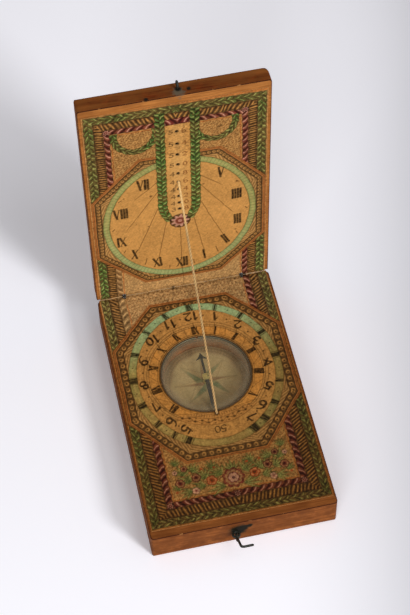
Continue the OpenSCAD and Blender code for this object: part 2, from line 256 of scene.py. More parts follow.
class SUNDIAL_PG_stage(bpy.types.PropertyGroup):
    """Floor, lamps and camera."""

    place: vector("Camera place", "Where the camera stands", (-0.060725, -0.300015, 0.481375))
    turn: vector("Camera turn", "Which way it looks", np.radians((36.0917, 0.8809, -12.3233)), "EULER")
    lens: amount("Lens", "Focal length in millimetres, on a 36 mm sensor", 99.986, 10, 400)
    floor: colour("Floor", "Pale card that the dial stands on", "#e3e3ea")
    floor_lift: amount("Floor lift", "How much brighter the camera sees the floor", 1.62, 1, 4)
    # Painted shade on the floor, darker towards the right
    floor_fall: share("Floor fall", "How much darker the floor grows towards the right", 0.31)
    side_place: vector("Side lamp place", "Where the soft lamp at the right stands", (0.92, -1.36, 0.9))
    side_power: amount("Side lamp power", "Power of the lamp at the right, in watts", 18.0)
    front_place: vector("Front lamp place", "Where the soft lamp in front stands", (-0.35, -0.75, 0.42))
    front_power: amount("Front lamp power", "Power of the lamp in front, in watts", 2.8)
    top_place: vector("Top lamp place", "Where the soft lamp overhead stands", (0.35, -0.5, 0.95))
    top_power: amount("Top lamp power", "Power of the lamp overhead, in watts", 1.6)
    lamp_size: length("Lamp size", "Width of the round lamps", 0.45, 0.1, 3.0)
    sky: share("Room light", "Strength of the even light from all sides", 0.24)


SETTINGS = {
    "sundial_print": SUNDIAL_PG_print,
    "sundial_wood": SUNDIAL_PG_wood,
    "sundial_fittings": SUNDIAL_PG_fittings,
    "sundial_stage": SUNDIAL_PG_stage,
}


# Meshes

def new_piece(name, points, faces, smooth=False):
    """Object from points in millimetres and faces as lists of point numbers."""
    mesh = bpy.data.meshes.new(name)
    mesh.from_pydata((np.asarray(points, float) * MM).tolist(), [], faces)
    mesh.polygons.foreach_set("use_smooth", np.full(len(faces), smooth))
    mesh.update()
    piece = bpy.data.objects.new(name, mesh)
    bpy.context.scene.collection.objects.link(piece)
    return piece


def paint_points(piece, rgb):
    """Stores a linear colour at each of a piece's points."""
    layer = piece.data.color_attributes.new(PRINT_LAYER, "FLOAT_COLOR", "POINT")
    layer.data.foreach_set("color", np.column_stack([rgb, np.ones(len(rgb))]).astype(np.float32).ravel())


def map_flat(piece, u, v):
    """Lays a flat piece on its UV square by its own two coordinates."""
    layer = piece.data.uv_layers.new(name="OFBake")
    corner = np.empty(len(piece.data.loops), int)
    piece.data.loops.foreach_get("vertex_index", corner)
    square = np.column_stack([(u - u.min()) / np.ptp(u), (v - v.min()) / np.ptp(v)])
    layer.data.foreach_set("uv", (0.002 + 0.996 * square)[corner].astype(np.float32).ravel())


def flat_grid(u_range, v_range, step, circles, boxes):
    """Even grid over a rectangle, less circles (u, v, radius) and boxes (low u, high u, low v, high v).
    A cell goes when its middle lies in one, and a kept cell's corner inside a circle moves to its rim. Of a
    circle with a negative radius, what lies outside it goes."""
    sizes = [int(round((high - low) / step)) + 1 for low, high in (u_range, v_range)]
    u, v = np.meshgrid(np.linspace(*u_range, sizes[0]), np.linspace(*v_range, sizes[1]))
    places = np.column_stack([u.ravel(), v.ravel()])
    number = np.arange(u.size).reshape(u.shape)
    cells = np.stack([number[:-1, :-1], number[:-1, 1:], number[1:, 1:], number[1:, :-1]], -1).reshape(-1, 4)
    mid_u, mid_v = places[cells].mean(axis=1).T
    keep = np.ones(len(cells), bool)
    for low_u, high_u, low_v, high_v in boxes:
        keep &= ~((mid_u > low_u) & (mid_u < high_u) & (mid_v > low_v) & (mid_v < high_v))
    for u0, v0, radius in circles:
        keep &= (np.hypot(mid_u - u0, mid_v - v0) > abs(radius)) == (radius > 0)
        gap = places - (u0, v0)
        distance = np.hypot(*gap.T) + 1e-9
        wrong = (distance < abs(radius)) == (radius > 0)
        places[wrong] = (u0, v0) + gap[wrong] * (abs(radius) / distance[wrong])[:, None]
    used, cells = np.unique(cells[keep], return_inverse=True)
    return places[used], cells.reshape(-1, 4)


def swept(path, radius, sides, reference, twist, groove):
    """Closed tube along a path. Its ring at each point lies square to the path, turned by twist radians a
    millimetre, and its radius falls by the share groove sin^2 of the angle round the ring. Also gives that
    sin^2 at each point."""
    along = np.gradient(path, axis=0)
    along /= np.linalg.norm(along, axis=1)[:, None]
    across = np.cross(along, reference)
    across /= np.linalg.norm(across, axis=1)[:, None]
    up = np.cross(along, across)
    travelled = np.concatenate([[0], np.cumsum(np.linalg.norm(np.diff(path, axis=0), axis=1))])
    angle = np.linspace(0, 2 * np.pi, sides, endpoint=False)
    around = angle[None, :] + twist * travelled[:, None]
    depth = np.sin(angle) ** 2
    ring = path[:, None] + (radius * (1 - groove * depth))[None, :, None] * (
        np.cos(around)[..., None] * across[:, None] + np.sin(around)[..., None] * up[:, None])
    points = np.vstack([ring.reshape(-1, 3), path[:1], path[-1:]])
    n, last = sides, len(path) - 1
    a = (np.arange(last)[:, None] * n + np.arange(n)[None, :]).ravel()
    b = (np.arange(last)[:, None] * n + (np.arange(n)[None, :] + 1) % n).ravel()
    faces = np.column_stack([a, a + n, b + n, b]).tolist()
    start, end = len(points) - 2, len(points) - 1
    faces += [[start, k, (k + 1) % n] for k in range(n)]
    faces += [[end, last * n + (k + 1) % n, last * n + k] for k in range(n)]
    return points, faces, np.append(np.tile(depth, len(path)), [0, 0])


def turned_profile(profile, sides):
    """Closed body of revolution about the vertical through the origin, from a profile of (radius, height)
    that starts and ends on the axis, lowest point first."""
    profile = np.asarray(profile, float)
    ring = profile[1:-1]
    angle = np.linspace(0, 2 * np.pi, sides, endpoint=False)
    points = np.stack([ring[:, :1] * np.cos(angle), ring[:, :1] * np.sin(angle),
                       np.repeat(ring[:, 1:], sides, axis=1)], -1).reshape(-1, 3)
    points = np.vstack([points, [0, 0, profile[0, 1]], [0, 0, profile[-1, 1]]])
    rows, n = len(ring), sides
    faces = [[r * n + k, r * n + (k + 1) % n, (r + 1) * n + (k + 1) % n, (r + 1) * n + k]
             for r in range(rows - 1) for k in range(n)]
    faces += [[len(points) - 2, (k + 1) % n, k] for k in range(n)]
    faces += [[len(points) - 1, (rows - 1) * n + k, (rows - 1) * n + (k + 1) % n] for k in range(n)]
    return points, faces


# Printing: masks from distances in millimetres

def inside(distance, soft=0.08):
    """1 where a distance is below zero and 0 above, with a straight ramp at the edge."""
    return np.clip(0.5 - distance / (2 * soft), 0, 1)


def stroke(distance, width, soft=0.08):
    """1 within half the width of a line."""
    return inside(np.abs(distance) - width / 2, soft)


def band(x, low, high, soft=0.08):
    """1 between two values."""
    return inside(low - x, soft) * inside(x - high, soft)


def wrap(x, pitch):
    """x folded into the range from minus half a pitch to plus half a pitch."""
    return (x + pitch / 2) % pitch - pitch / 2


def grain(u, v, size, seed):
    """Smooth noise from 0 to 1: random values on a lattice of that size, with eased steps between."""
    table = np.random.default_rng(seed).random((97, 97))
    x, y = u / size, v / size
    i, j = np.floor(x).astype(int), np.floor(y).astype(int)
    fx, fy = x - i, y - j
    fx, fy = fx * fx * (3 - 2 * fx), fy * fy * (3 - 2 * fy)
    i, j, k, m = i % 97, j % 97, (i + 1) % 97, (j + 1) % 97
    low = table[i, j] * (1 - fx) + table[k, j] * fx
    high = table[i, m] * (1 - fx) + table[k, m] * fx
    return low * (1 - fy) + high * fy


def oval(u, v, a, b):
    """Distance from the oval with half-axes a and b: (k - 1) k / g, where k is the length of the place
    scaled by the half-axes and g that of the place scaled by their squares."""
    k = np.hypot(u / a, v / b)
    g = np.hypot(u / a ** 2, v / b ** 2) + 1e-9
    return k * (k - 1) / g


class Face:
    """A printed face: its places across and up, shifted by the hand's small unevenness, with a colour at
    each."""

    def __init__(self, u, v, seed, inks, ground="paper"):
        self.seed = seed
        self.inks = inks
        self.u = u + 0.2 * (grain(u, v, 2.3, seed) - 0.5)
        self.v = v + 0.2 * (grain(u, v, 2.3, seed + 1) - 0.5)
        self.rub = grain(u, v, 0.5, seed + 2)
        self.rgb = np.tile(inks[ground], (u.size, 1))

    def near(self, u, v, reach):
        """Numbers of the places within reach of a point, and those places seen from it."""
        found = np.flatnonzero((np.abs(self.u - u) < reach) & (np.abs(self.v - v) < reach))
        return found, self.u[found] - u, self.v[found] - v

    def touch(self, ink, found, mask, strength=1.0):
        """Covers what lies under the mask with a colour, thinner where the plate wiped unevenly, at the
        places whose numbers are given."""
        share = np.clip(mask, 0, 1) * strength * (0.82 + 0.3 * self.rub[found])
        self.rgb[found] += (self.inks[ink] - self.rgb[found]) * np.clip(share, 0, 1)[:, None]

    def lay(self, ink, mask, strength=1.0):
        """Does the same at all places."""
        self.touch(ink, slice(None), mask, strength)


def plait(face, along, across, half, pitch, where, green):
    """Braid of two strands. Its phase grows along it and away from its middle line, and the two sides are
    half a turn apart, so the light strokes lie as overlapping Vs."""
    side = np.clip(np.abs(across) / half, 0, 1)
    uneven = 0.55 * (grain(along, across, 1.2, face.seed + 3) - 0.5)
    phase = along / pitch + 0.62 * side + 0.25 * np.sign(across) + uneven
    beat = wrap(phase, 1.0)
    tuft = grain(along, across, 0.8, face.seed + 4)
    wash = grain(along, across, 4.0, face.seed + 5)
    body = inside(np.abs(across) - half * (1 + 0.06 * np.cos(2 * np.pi * phase))) * where
    face.lay("leaf_dark", body, 0.88)
    strand = body * inside(np.abs(beat) - 0.3, 0.1) * inside(side - 0.92, 0.1)
    face.lay("leaf", strand, 0.9 * green * (0.55 + 0.75 * wash))
    face.lay("paper", strand, 0.5 * (1 - green * (0.35 + 0.8 * wash)).clip(0, 1))
    fine = inside(np.abs(wrap(phase * 3 + 0.3, 1.0)) - 0.16, 0.12)
    face.lay("leaf_dark", strand * fine, 0.55)
    gleam = inside(np.abs(beat - 0.06) - 0.07, 0.06) * band(side, 0.16, 0.86, 0.08)
    face.lay("leaf_pale", body * gleam, 0.35 + 1.0 * tuft)
    face.lay("leaf_dark", body * stroke(across, 0.16, 0.12), 0.6)


def ribbon(face, along, across, half, pitch, where, strength=1.0):
    """Twisted ribbon: dark turns, each with a pale slanting gleam, whose edge swells with every turn."""
    phase = along / pitch - 0.34 * across / half
    beat = wrap(phase + 0.07 * np.cos(np.pi * across / half), 1.0)
    swell = half * (0.94 + 0.1 * np.cos(2 * np.pi * (phase - 0.1)))
    body = inside(np.abs(across) - swell) * where
    tuft = grain(along, across, 0.7, face.seed + 7)
    face.lay("crimson", body, 0.87 * strength)
    face.lay("brown", body, 0.3 * (1 - strength))
    shade = inside(np.abs(wrap(beat - 0.38, 1)) - 0.2, 0.16)
    face.lay("crimson_dark", body * shade, 0.95 * strength)
    face.lay("line", body * shade, 0.6 * (1 - strength))
    fine = inside(np.abs(wrap(phase * 4, 1.0)) - 0.14, 0.12)
    face.lay("crimson_dark", body * fine, 0.4 * strength)
    gleam = inside(np.abs(beat + 0.04) - 0.075, 0.06) * inside(np.abs(across) - 0.78 * half)
    face.lay("pink", body * gleam, (0.55 + 0.7 * tuft) * strength)
    face.lay("pale", body * gleam, 0.95 * (1 - strength))
    face.lay("line", stroke(np.abs(across) - swell, 0.2) * where, 0.6 * (0.4 + 0.6 * strength))


def hatch(face, along, across, half, pitch, where, lean):
    """Shaded moulding: short pale strokes on brown, leaning, unevenly spaced and rounded at their ends."""
    uneven = 0.7 * (grain(along, across * 0 + 7, 1.3, face.seed + 5) - 0.5)
    phase = (along + lean * across) / pitch + uneven
    beat = wrap(phase, 1.0) * pitch
    each = np.floor(phase + 0.5)
    reach = half * (0.45 + 0.5 * grain(each * 3.1, along * 0, 1.0, face.seed + 6))
    strong = 0.58 + 0.6 * grain(each * 5.3, across, 1.2, face.seed + 8)
    body = band(across, -half, half) * where
    face.lay("brown", body, 0.85)
    face.lay("line", body * inside(0.5 * pitch - np.abs(beat) - 0.2, 0.14), 0.75)
    face.lay("amber", body * stroke(beat, 0.26 * pitch, 0.1) * inside(np.abs(across) - reach, 0.2), strong)
    face.lay("line", body * stroke(np.abs(across) - half, 0.3, 0.15), 0.5)


def rosette(face, u, v, radius, petals=7):
    """Small round flower: a dark disc with pale petals round a dark eye."""
    found, x, y = face.near(u, v, radius * 1.3)
    r, turn = np.hypot(x, y), np.arctan2(y, x)
    lobes = radius * (0.82 + 0.18 * np.cos(petals * turn))
    face.touch("crimson_dark", found, inside(r - radius), 0.85)
    petal = inside(r - 0.9 * lobes) * inside(0.42 * radius - r)
    face.touch("pink", found, petal, 0.7)
    face.touch("crimson", found, inside(r - 0.5 * radius), 0.6)
    face.touch("pink", found, inside(r - 0.2 * radius), 0.6)


class Octagon:
    """Eight-sided frame, given by its corners from the lower right one round to the left. depth is the
    distance inside its outline, and along and side_length follow the side that a place is nearest to."""

    def __init__(self, face, corner_points):
        outline = np.array(corner_points, float)
        best = np.full(face.u.size, -1e9)
        self.along = np.zeros(face.u.size)
        self.side_length = np.ones(face.u.size)
        for (x0, y0), (x1, y1) in zip(outline, np.roll(outline, -1, axis=0)):
            size = np.hypot(x1 - x0, y1 - y0)
            tx, ty = (x1 - x0) / size, (y1 - y0) / size
            outwards = (face.u - x0) * ty - (face.v - y0) * tx
            nearer = outwards > best
            best = np.where(nearer, outwards, best)
            self.along = np.where(nearer, (face.u - x0) * tx + (face.v - y0) * ty, self.along)
            self.side_length = np.where(nearer, size, self.side_length)
        self.depth = -best
        self.outside = inside(self.depth)


def octagon_frame(face, octagon, ring_pitch, ring_radius):
    """Two orange lines, a row of small rings on brown and a dark inner line, inwards from the outline."""
    face.lay("rust", band(octagon.depth, -0.1, 0.75), 0.45)
    for depth in (0.0, 0.6):
        face.lay("orange", stroke(octagon.depth - depth, 0.26, 0.12), 0.8)
        face.lay("line", stroke(octagon.depth - depth - 0.3, 0.2, 0.1), 0.65)
        face.lay("line", stroke(octagon.depth - depth + 0.24, 0.12, 0.1), 0.4)
    first, middle, last = 0.95 + (ring_radius + 0.4) * np.arange(3)
    count = np.maximum(np.round(octagon.side_length / ring_pitch), 1)
    step = octagon.side_length / count
    shake = 0.35 * ring_radius
    x = wrap(octagon.along - step / 2, step) + shake * (grain(face.u, face.v, 1.1, face.seed + 12) - 0.5)
    y = octagon.depth - middle + shake * (grain(face.u, face.v, 1.1, face.seed + 13) - 0.5)
    r, turn = np.hypot(x, y), np.arctan2(y, x)
    lane = band(octagon.depth, first, last)
    heavy = 0.2 + 0.16 * np.cos(turn - 0.8)
    face.lay("brown", lane, 0.8)
    face.lay("line", lane * inside(ring_radius + 0.1 - r, 0.25), 0.5)
    face.lay("amber", lane * inside(np.abs(r - 0.7 * ring_radius) - heavy * ring_radius, 0.12), 0.75)
    face.lay("line", lane * inside(r - 0.34 * ring_radius, 0.12), 0.7)
    for edge in (first, last):
        face.lay("line", stroke(octagon.depth - edge, 0.24), 0.8)
    shading(face, inside(last - octagon.depth), octagon.depth + 0.4 * octagon.along, 0.95, 0.6)


def arc(x, y, rx, ry, start, end, count=14):
    """Points along part of an oval, between two angles in degrees."""
    turn = np.radians(np.linspace(start, end, count))
    return list(zip(x + rx * np.cos(turn), y + ry * np.sin(turn)))


# Pen lines of the figures, in a box one high
FIGURES = {
    "0": [arc(0.5, 0.5, 0.32, 0.48, 0, 360, 24)],
    "1": [[(0.28, 0.76), (0.52, 0.98), (0.52, 0.02)]],
    "2": [arc(0.48, 0.7, 0.32, 0.28, 170, -35) + [(0.16, 0.03), (0.86, 0.05)]],
    "3": [arc(0.45, 0.74, 0.3, 0.24, 150, -88), arc(0.45, 0.27, 0.34, 0.26, 88, -150)],
    "4": [[(0.66, 0.0), (0.66, 0.98), (0.1, 0.32), (0.92, 0.32)]],
    "5": [[(0.82, 0.96), (0.34, 0.96), (0.26, 0.56)] + arc(0.46, 0.31, 0.34, 0.29, 125, -150)],
    "6": [arc(0.78, 0.62, 0.6, 0.6, 100, 178, 10) + arc(0.5, 0.3, 0.32, 0.28, 150, -210, 22)],
    "7": [[(0.14, 0.86), (0.22, 0.96), (0.84, 0.96), (0.36, 0.0)]],
    "8": [arc(0.5, 0.74, 0.26, 0.23, -90, 270, 20), arc(0.5, 0.26, 0.33, 0.25, 90, 450, 22)],
    "9": [arc(0.22, 0.38, 0.6, 0.6, -80, -2, 10) + arc(0.5, 0.7, 0.32, 0.28, -30, 330, 22)],
}
FIGURE_WIDTH = 0.78


def figures(text, thick=0.17, thin=0.06, nib=35.0):
    """Pen strokes of a number, one high and centred: each segment is as wide as its direction across a
    slanting nib makes it. A stroke is (x0, y0, x1, y1, width)."""
    rows = []
    for place, sign in enumerate(text):
        for line in FIGURES[sign]:
            points = np.array(line) + (FIGURE_WIDTH * place, 0)
            step = np.diff(points, axis=0)
            turn = np.arctan2(step[:, 1], step[:, 0]) - np.radians(nib)
            width = thin + (thick - thin) * np.abs(np.sin(turn))
            rows.append(np.column_stack([points[:-1], points[1:], width]))
    strokes = np.vstack(rows)
    strokes[:, [0, 2]] -= (FIGURE_WIDTH * len(text) + 0.22) / 2
    strokes[:, [1, 3]] -= 0.5
    return strokes


def roman(text, thick, thin):
    """Strokes of a Roman numeral, one high and centred: upright and falling strokes thick, rising ones
    thin, with fine serifs."""
    rows, x = [], 0.0
    for sign in text:
        wide = 0.2 if sign == "I" else 0.5
        left, right, mid = x + 0.06, x + wide - 0.06, x + wide / 2
        if sign == "I":
            rows.append((mid, 0, mid, 1, thick))
        elif sign == "V":
            rows += [(left, 1, mid, 0, thick), (right, 1, mid, 0, thin)]
        else:
            rows += [(left, 0, right, 1, thin), (left, 1, right, 0, thick)]
        ends = [mid] if sign == "I" else [left, right]
        rows += [(e - 0.085, y, e + 0.085, y, 0.045) for y in ((1,) if sign == "V" else (0, 1)) for e in ends]
        x += wide
    strokes = np.array(rows, float)
    strokes[:, [0, 2]] -= x / 2
    strokes[:, [1, 3]] -= 0.5
    return strokes


def turned(x, y, turn):
    """Places seen from axes that are turned by so many degrees."""
    c, s = np.cos(np.radians(turn)), np.sin(np.radians(turn))
    return c * x + s * y, c * y - s * x


def write(face, strokes, u, v, height, turn=0.0, ink="line", strength=0.92, stretch=1.0):
    """Draws strokes at a place and a turn in degrees, by the distance to the nearest point of each."""
    half_wide, half_high = np.abs(strokes[:, [0, 2]]).max() * stretch, np.abs(strokes[:, [1, 3]]).max()
    found, x, y = face.near(u, v, height * (0.15 + np.hypot(half_wide, half_high)))
    x, y = turned(x, y, turn)
    x, y = x / height / stretch, y / height
    mask = np.zeros(found.size)
    for x0, y0, x1, y1, width in strokes:
        dx, dy = x1 - x0, y1 - y0
        t = np.clip(((x - x0) * dx + (y - y0) * dy) / (dx * dx + dy * dy + 1e-9), 0, 1)
        gap = np.hypot((x - x0 - t * dx) * stretch, y - y0 - t * dy) * height
        mask = np.maximum(mask, inside(gap - width * height / 2, 0.09))
    face.touch(ink, found, mask, strength)


def segment(face, u0, v0, u1, v1, width, ink="line", strength=0.85):
    """One straight stroke between two places."""
    dx, dy = u1 - u0, v1 - v0
    t = np.clip(((face.u - u0) * dx + (face.v - v0) * dy) / (dx * dx + dy * dy), 0, 1)
    gap = np.hypot(face.u - u0 - t * dx, face.v - v0 - t * dy)
    face.lay(ink, inside(gap - width / 2), strength)


def dot(face, u, v, radius, ink="line", strength=0.85, soft=0.1):
    """One round spot."""
    found, x, y = face.near(u, v, radius + 1)
    face.touch(ink, found, inside(np.hypot(x, y) - radius, soft), strength)


def stipple(face, where, pitch, strength, seed):
    """Engraver's stipple: two crossing sets of short curved ticks, each shifted at random in its cell, over
    a thin brown tint."""
    face.lay("rust", where, 0.12 * strength)
    for turn in np.degrees((0.1, 1.0)):
        a, b = turned(face.u, face.v, turn)
        i, j = np.floor(a / pitch), np.floor(b / pitch)
        shift_a = grain(i * 3.3, j * 5.1, 1.0, seed) - 0.5
        shift_b = grain(i * 4.7, j * 2.9, 1.0, seed + 1) - 0.5
        x = wrap(a - pitch / 2, pitch) + 0.5 * pitch * shift_a
        y = wrap(b - pitch / 2, pitch) + 0.5 * pitch * shift_b
        lean = 2.4 * shift_a + 0.4
        tick = stroke(y - lean * x - 2.0 * x * x / pitch, 0.26, 0.12) * inside(np.abs(x) - 0.32 * pitch)
        face.lay("rust", tick * where, strength)


def shading(face, where, along, pitch, strength):
    """Engraver's parallel shading: thin brown lines that swell and fade."""
    swell = 0.16 + 0.2 * grain(face.u, face.v, 1.7, face.seed + 11)
    lines = inside(np.abs(wrap(along, pitch)) - swell, 0.12)
    face.lay("rust", where, 0.2 * strength)
    face.lay("brown", where * lines, strength)


def hour_turn(hour, factor):
    """Angle of an hour line from the noon line. Its tangent is the factor, the sine of the latitude on a
    level dial and its cosine on an upright one, times the tangent of 15 degrees for each hour."""
    angle = np.radians(15.0 * hour)
    return np.arctan2(factor * np.sin(angle), np.cos(angle))


def ray(x, y, line, width, start):
    """1 along a line from the origin, at an angle from +y, beyond a distance."""
    aside, ahead = x * np.cos(line) - y * np.sin(line), x * np.sin(line) + y * np.cos(line)
    return stroke(aside, width) * inside(start - ahead)


def way_out(line, a, b, shift):
    """How far a ray from the origin, at an angle from +v, runs before it leaves the oval with half-axes
    a and b round the point (0, shift): the greater root of its quadratic."""
    dx, dy = np.sin(line), np.cos(line)
    p = (dx / a) ** 2 + (dy / b) ** 2
    q = -dy * shift / b ** 2
    return (-q + np.sqrt(q * q - p * ((shift / b) ** 2 - 1))) / p


def age(face, u, v, dirt, rough):
    """Broad clouding, speckle as strong as rough says, and brown dirt where the dirt map is high."""
    cloud = 0.6 * grain(u, v, 9, face.seed + 20) + 0.4 * grain(u, v, 3.1, face.seed + 21)
    speck = 0.5 * grain(u, v, 0.62, face.seed + 22) + 0.5 * grain(u, v, 0.36, face.seed + 23)
    tone = 1.0 + 0.28 * (cloud - 0.5) + rough * (speck - 0.5)
    grime = np.clip(dirt * (0.75 + 0.5 * cloud), 0, 1)[:, None] * (0.52, 0.6, 0.7)
    face.rgb *= tone[:, None] * (1 - grime)


def oval_ring(face, u, v, outer, inner):
    """Pale green ring between two ovals, dark-edged. Gives its mask and the distance from the inner oval."""
    out, into = oval(u, v, *outer), oval(u, v, *inner)
    ring = inside(out) * (1 - inside(into))
    face.lay("ring_green", ring, 0.92)
    face.lay("pale", ring * inside(np.abs(out + into) - 0.9, 0.7), 0.18)
    for distance in (out, into):
        face.lay("leaf_dark", stroke(distance, 0.28, 0.14), 0.7)
    return ring, into


def borders(face, octagon, depth, along, on_end, widths, slants, pitches, strength, green):
    """The frame round a leaf, outwards from its inner line: ribbon, shaded moulding, plait, pale edge.
    widths are the depths at which these begin and end. slants are the moulding's on the end and on the sides.
    pitches are the ribbon's, the moulding's on the end and on the sides, and the plait's."""
    where = octagon.outside
    start, second, third, last = widths
    ribbon_pitch, end_pitch, side_pitch, plait_pitch = pitches
    face.lay("orange", stroke(depth + 0.1, 0.3, 0.12) * where, 0.8)
    ribbon(face, along, depth - (start + second) / 2, (second - start) / 2, ribbon_pitch, where, strength)
    slant = np.where(on_end, *slants)
    pitch = np.where(on_end, end_pitch, side_pitch)
    hatch(face, along, depth - (second + third) / 2, (third - second) / 2, pitch, where, slant)
    plait(face, along, depth - (third + last) / 2, (last - third) / 2 - 0.1, plait_pitch, where, green)
    for edge in (third, last):
        face.lay("line", stroke(depth - edge, 0.3, 0.12) * where, 0.7)
    face.lay("amber", inside(last + 0.1 - depth, 0.1) * where, 0.6)
    face.lay("orange", inside(last + 0.2 - depth, 0.15) * where, 0.6)


# Lid dial: its frame's corners, middle and half-axes of its ovals, and where its hour lines meet
LID_OCTAGON = [(13.6, 5.1), (28.4, 21.5), (28.4, 50.4), (14.0, 68.1), (-12.3, 68.4), (-28.4, 51.0),
               (-28.4, 22.7), (-12.7, 5.3)]
LID_OVAL_V = 36.75
LID_OUTER, LID_INNER = (25.4, 29.8), (23.3, 27.2)
LID_ROOT_V = 62.4
# Places and turns of its hour numbers, by the hour from noon
LID_HOURS = {
    -5: ("VII", -11.5, 56.1, 0), -4: ("VIII", -19.3, 43.7, 0), -3: ("IX", -19.8, 29.3, 0),
    -2: ("X", -15.7, 21.6, -6), -1: ("XI", -8.3, 15.3, 4), 0: ("XII", 0.1, 13.3, 0),
    1: ("I", 7.7, 15.3, 7), 2: ("II", 15.0, 21.6, 24), 3: ("III", 19.2, 31.0, 0),
    4: ("IIII", 19.0, 44.0, 0), 5: ("V", 13.8, 55.9, -4),
}
# Dark spots of age, as (u, v, radius)
LID_FOXING = [
    (4, 13, 0.3), (18.5, 25.5, 0.35), (19, 50, 0.4), (8, 51.5, 0.35), (-9.2, 50, 0.5), (13.2, 77.6, 0.45),
    (14.1, 77.8, 0.4), (-10.5, 35, 0.3), (-14.5, 37, 0.2), (9, 26, 0.2), (-4, 24, 0.15), (-18, 51, 0.3),
]
# The column of latitude holes: half-width, foot and top, and the middle and half-axes of the swags beside it
COLUMN_HALF = 4.0
COLUMN_FOOT_V, COLUMN_TOP_V = 35.6, 81.7
SWAG_U, SWAG_V = 12.6, 80.4
SWAG_AXES = (6.6, 7.9)
# The frames round both leaves: where they begin, how far from the middle their corner rosettes stand, and
# their borders' widths, slants and pitches
FRAME_HALF = 20.4
LID_FRAME_V, BASE_FRAME_V = 81.3, 11.8
ROSETTE_U = 21.7
LID_BORDERS = ((0.3, 2.3, 5.1, 8.1), (0.5, -0.12), (2.9, 1.42, 1.02, 2.6))
BASE_BORDERS = ((0.2, 2.5, 5.7, 8.5), (-0.3, 0.62), (2.7, 1.25, 1.2, 2.5))


def lid_dial(face, latitude):
    """Oval ring and amber dial with hour lines, numerals and half-hour marks."""
    u, v = face.u, face.v
    x, y = u, v - LID_OVAL_V
    face.lay("amber", inside(oval(x, y, *LID_OUTER)), 0.9)
    ring, into = oval_ring(face, x, y, LID_OUTER, LID_INNER)
    face.lay("ring_fresh", ring * np.clip(-y / 30, 0, 1), 0.35)
    turn = np.degrees(np.arctan2(x / LID_OUTER[0], -y / LID_OUTER[1]))
    face.lay("leaf_dark", ring * stroke(wrap(turn, 2.9) * 0.42, 0.18, 0.1), 0.42)
    factor = np.cos(latitude)
    for hour, (name, a, b, tilt) in LID_HOURS.items():
        line = ray(u, LID_ROOT_V - v, hour_turn(hour, factor), 0.22, 4.0)
        clear = inside(into + (0.0 if hour == 0 else 5.6), 0.3)
        face.lay("brown", line * clear * inside(into), 0.85)
        write(face, roman(name, 0.18, 0.075), a, b, 4.4, tilt)
    for half in np.arange(-4.5, 5, 1.0):
        line = np.pi - hour_turn(half, factor)
        end = way_out(line, *LID_INNER, LID_OVAL_V - LID_ROOT_V) - 1.2
        start = end - (3.2 if abs(half) == 1.5 else 1.2)
        du, dv = np.sin(line), np.cos(line)
        segment(face, du * end, LID_ROOT_V + dv * end, du * start, LID_ROOT_V + dv * start, 0.28)


def latitude_column(face):
    """Pale strip between two plaits that close on a rosette, with a figure on both sides of each hole."""
    side = np.abs(face.u - 0.009 * (face.v - 45).clip(0, None))
    drawn_in = np.clip((COLUMN_FOOT_V + 8.5 - face.v) / 8.5, 0, 1)
    middle = COLUMN_HALF + 1.5 - 2.7 * drawn_in ** 2
    strip = inside(side - middle + 1.3) * band(face.v, COLUMN_FOOT_V, COLUMN_TOP_V)
    face.lay("amber", strip)
    face.lay("pale", strip * inside(side - 2.6, 1.4), 0.2)
    plait(face, -face.v, side - middle, 1.6, 2.15, band(face.v, COLUMN_FOOT_V, COLUMN_TOP_V + 6), 1.15)
    ribbon(face, side, face.v - COLUMN_TOP_V - 1.5, 1.35, 2.9, inside(side - 3.7))
    rosette(face, 0.0, COLUMN_FOOT_V - 0.4, 3.5, 9)
    for degrees, height in zip(LATITUDES, HOLES_V):
        tens, ones = str(degrees)
        write(face, figures(tens, 0.22, 0.1), -1.95, height, 1.8, strength=0.8)
        write(face, figures(ones, 0.2, 0.09), 2.3, height, 1.8, ink="rust", strength=0.9)
        dot(face, 0.0, height, 0.66, strength=0.9, soft=0.14)


def swags(face):
    """Two hanging plaits, each the lower half of an oval between the column and the ribbon."""
    x, y = np.abs(face.u + 0.5) - SWAG_U, face.v - SWAG_V
    turn = np.arctan2(y, x)
    where = inside(face.v - 81.8) * inside(6.9 - np.abs(face.u)) * inside(y - 0.6 * np.abs(x))
    plait(face, turn * 7.4, oval(x, y, *SWAG_AXES), 1.2, 2.3, where, 1.1)


def lid_print(u, v, inks, latitude):
    """Colours of the lid's face."""
    face = Face(u, v, 100, inks)
    side = np.abs(face.u)
    # the frame's end slants a little and is narrower than its sides
    over_end = (face.v - LID_FRAME_V + 0.016 * face.u) * 0.89
    depth = np.maximum(side - FRAME_HALF, over_end)
    on_end = over_end > side - FRAME_HALF
    along = np.where(on_end, -side, face.v)
    octagon = Octagon(face, LID_OCTAGON)
    face.lay("fibre", octagon.outside * np.clip((18 - face.v) / 12, 0, 1), 0.55)
    fine = 0.85 - 0.45 * np.clip((24 - face.v) / 10, 0, 1)
    stipple(face, octagon.outside * inside(depth), 1.0, fine, 31)
    faded = np.where((face.v < 20) & (face.u < 0), 0.25, 1.0)
    green = np.where((face.v < 22) & (face.u < 0), 1.0, 0.78)
    borders(face, octagon, depth, along, on_end, *LID_BORDERS, faded, green)
    for x in (-ROSETTE_U, ROSETTE_U):
        rosette(face, x, 83.2, 1.2)
    octagon_frame(face, octagon, 1.55, 0.55)
    face.lay("pale", band(side, 28.65, 29.15), 0.3)
    face.lay("line", stroke(side - 29.35, 0.26, 0.12), 0.6)
    lid_dial(face, latitude)
    segment(face, 0.1, 10.8, 0.4, 0.3, 0.2, "brown", 0.7)
    latitude_column(face)
    swags(face)
    for a, b, radius in LID_FOXING:
        dot(face, a, b, radius, "brown", 0.75, 0.15)
    fold_wear(face, face.v)
    age(face, u, v, octagon.outside * np.clip(face.v / 40 - 0.1, 0, 0.3), 0.5 + 0.6 * octagon.outside)
    return face.rgb
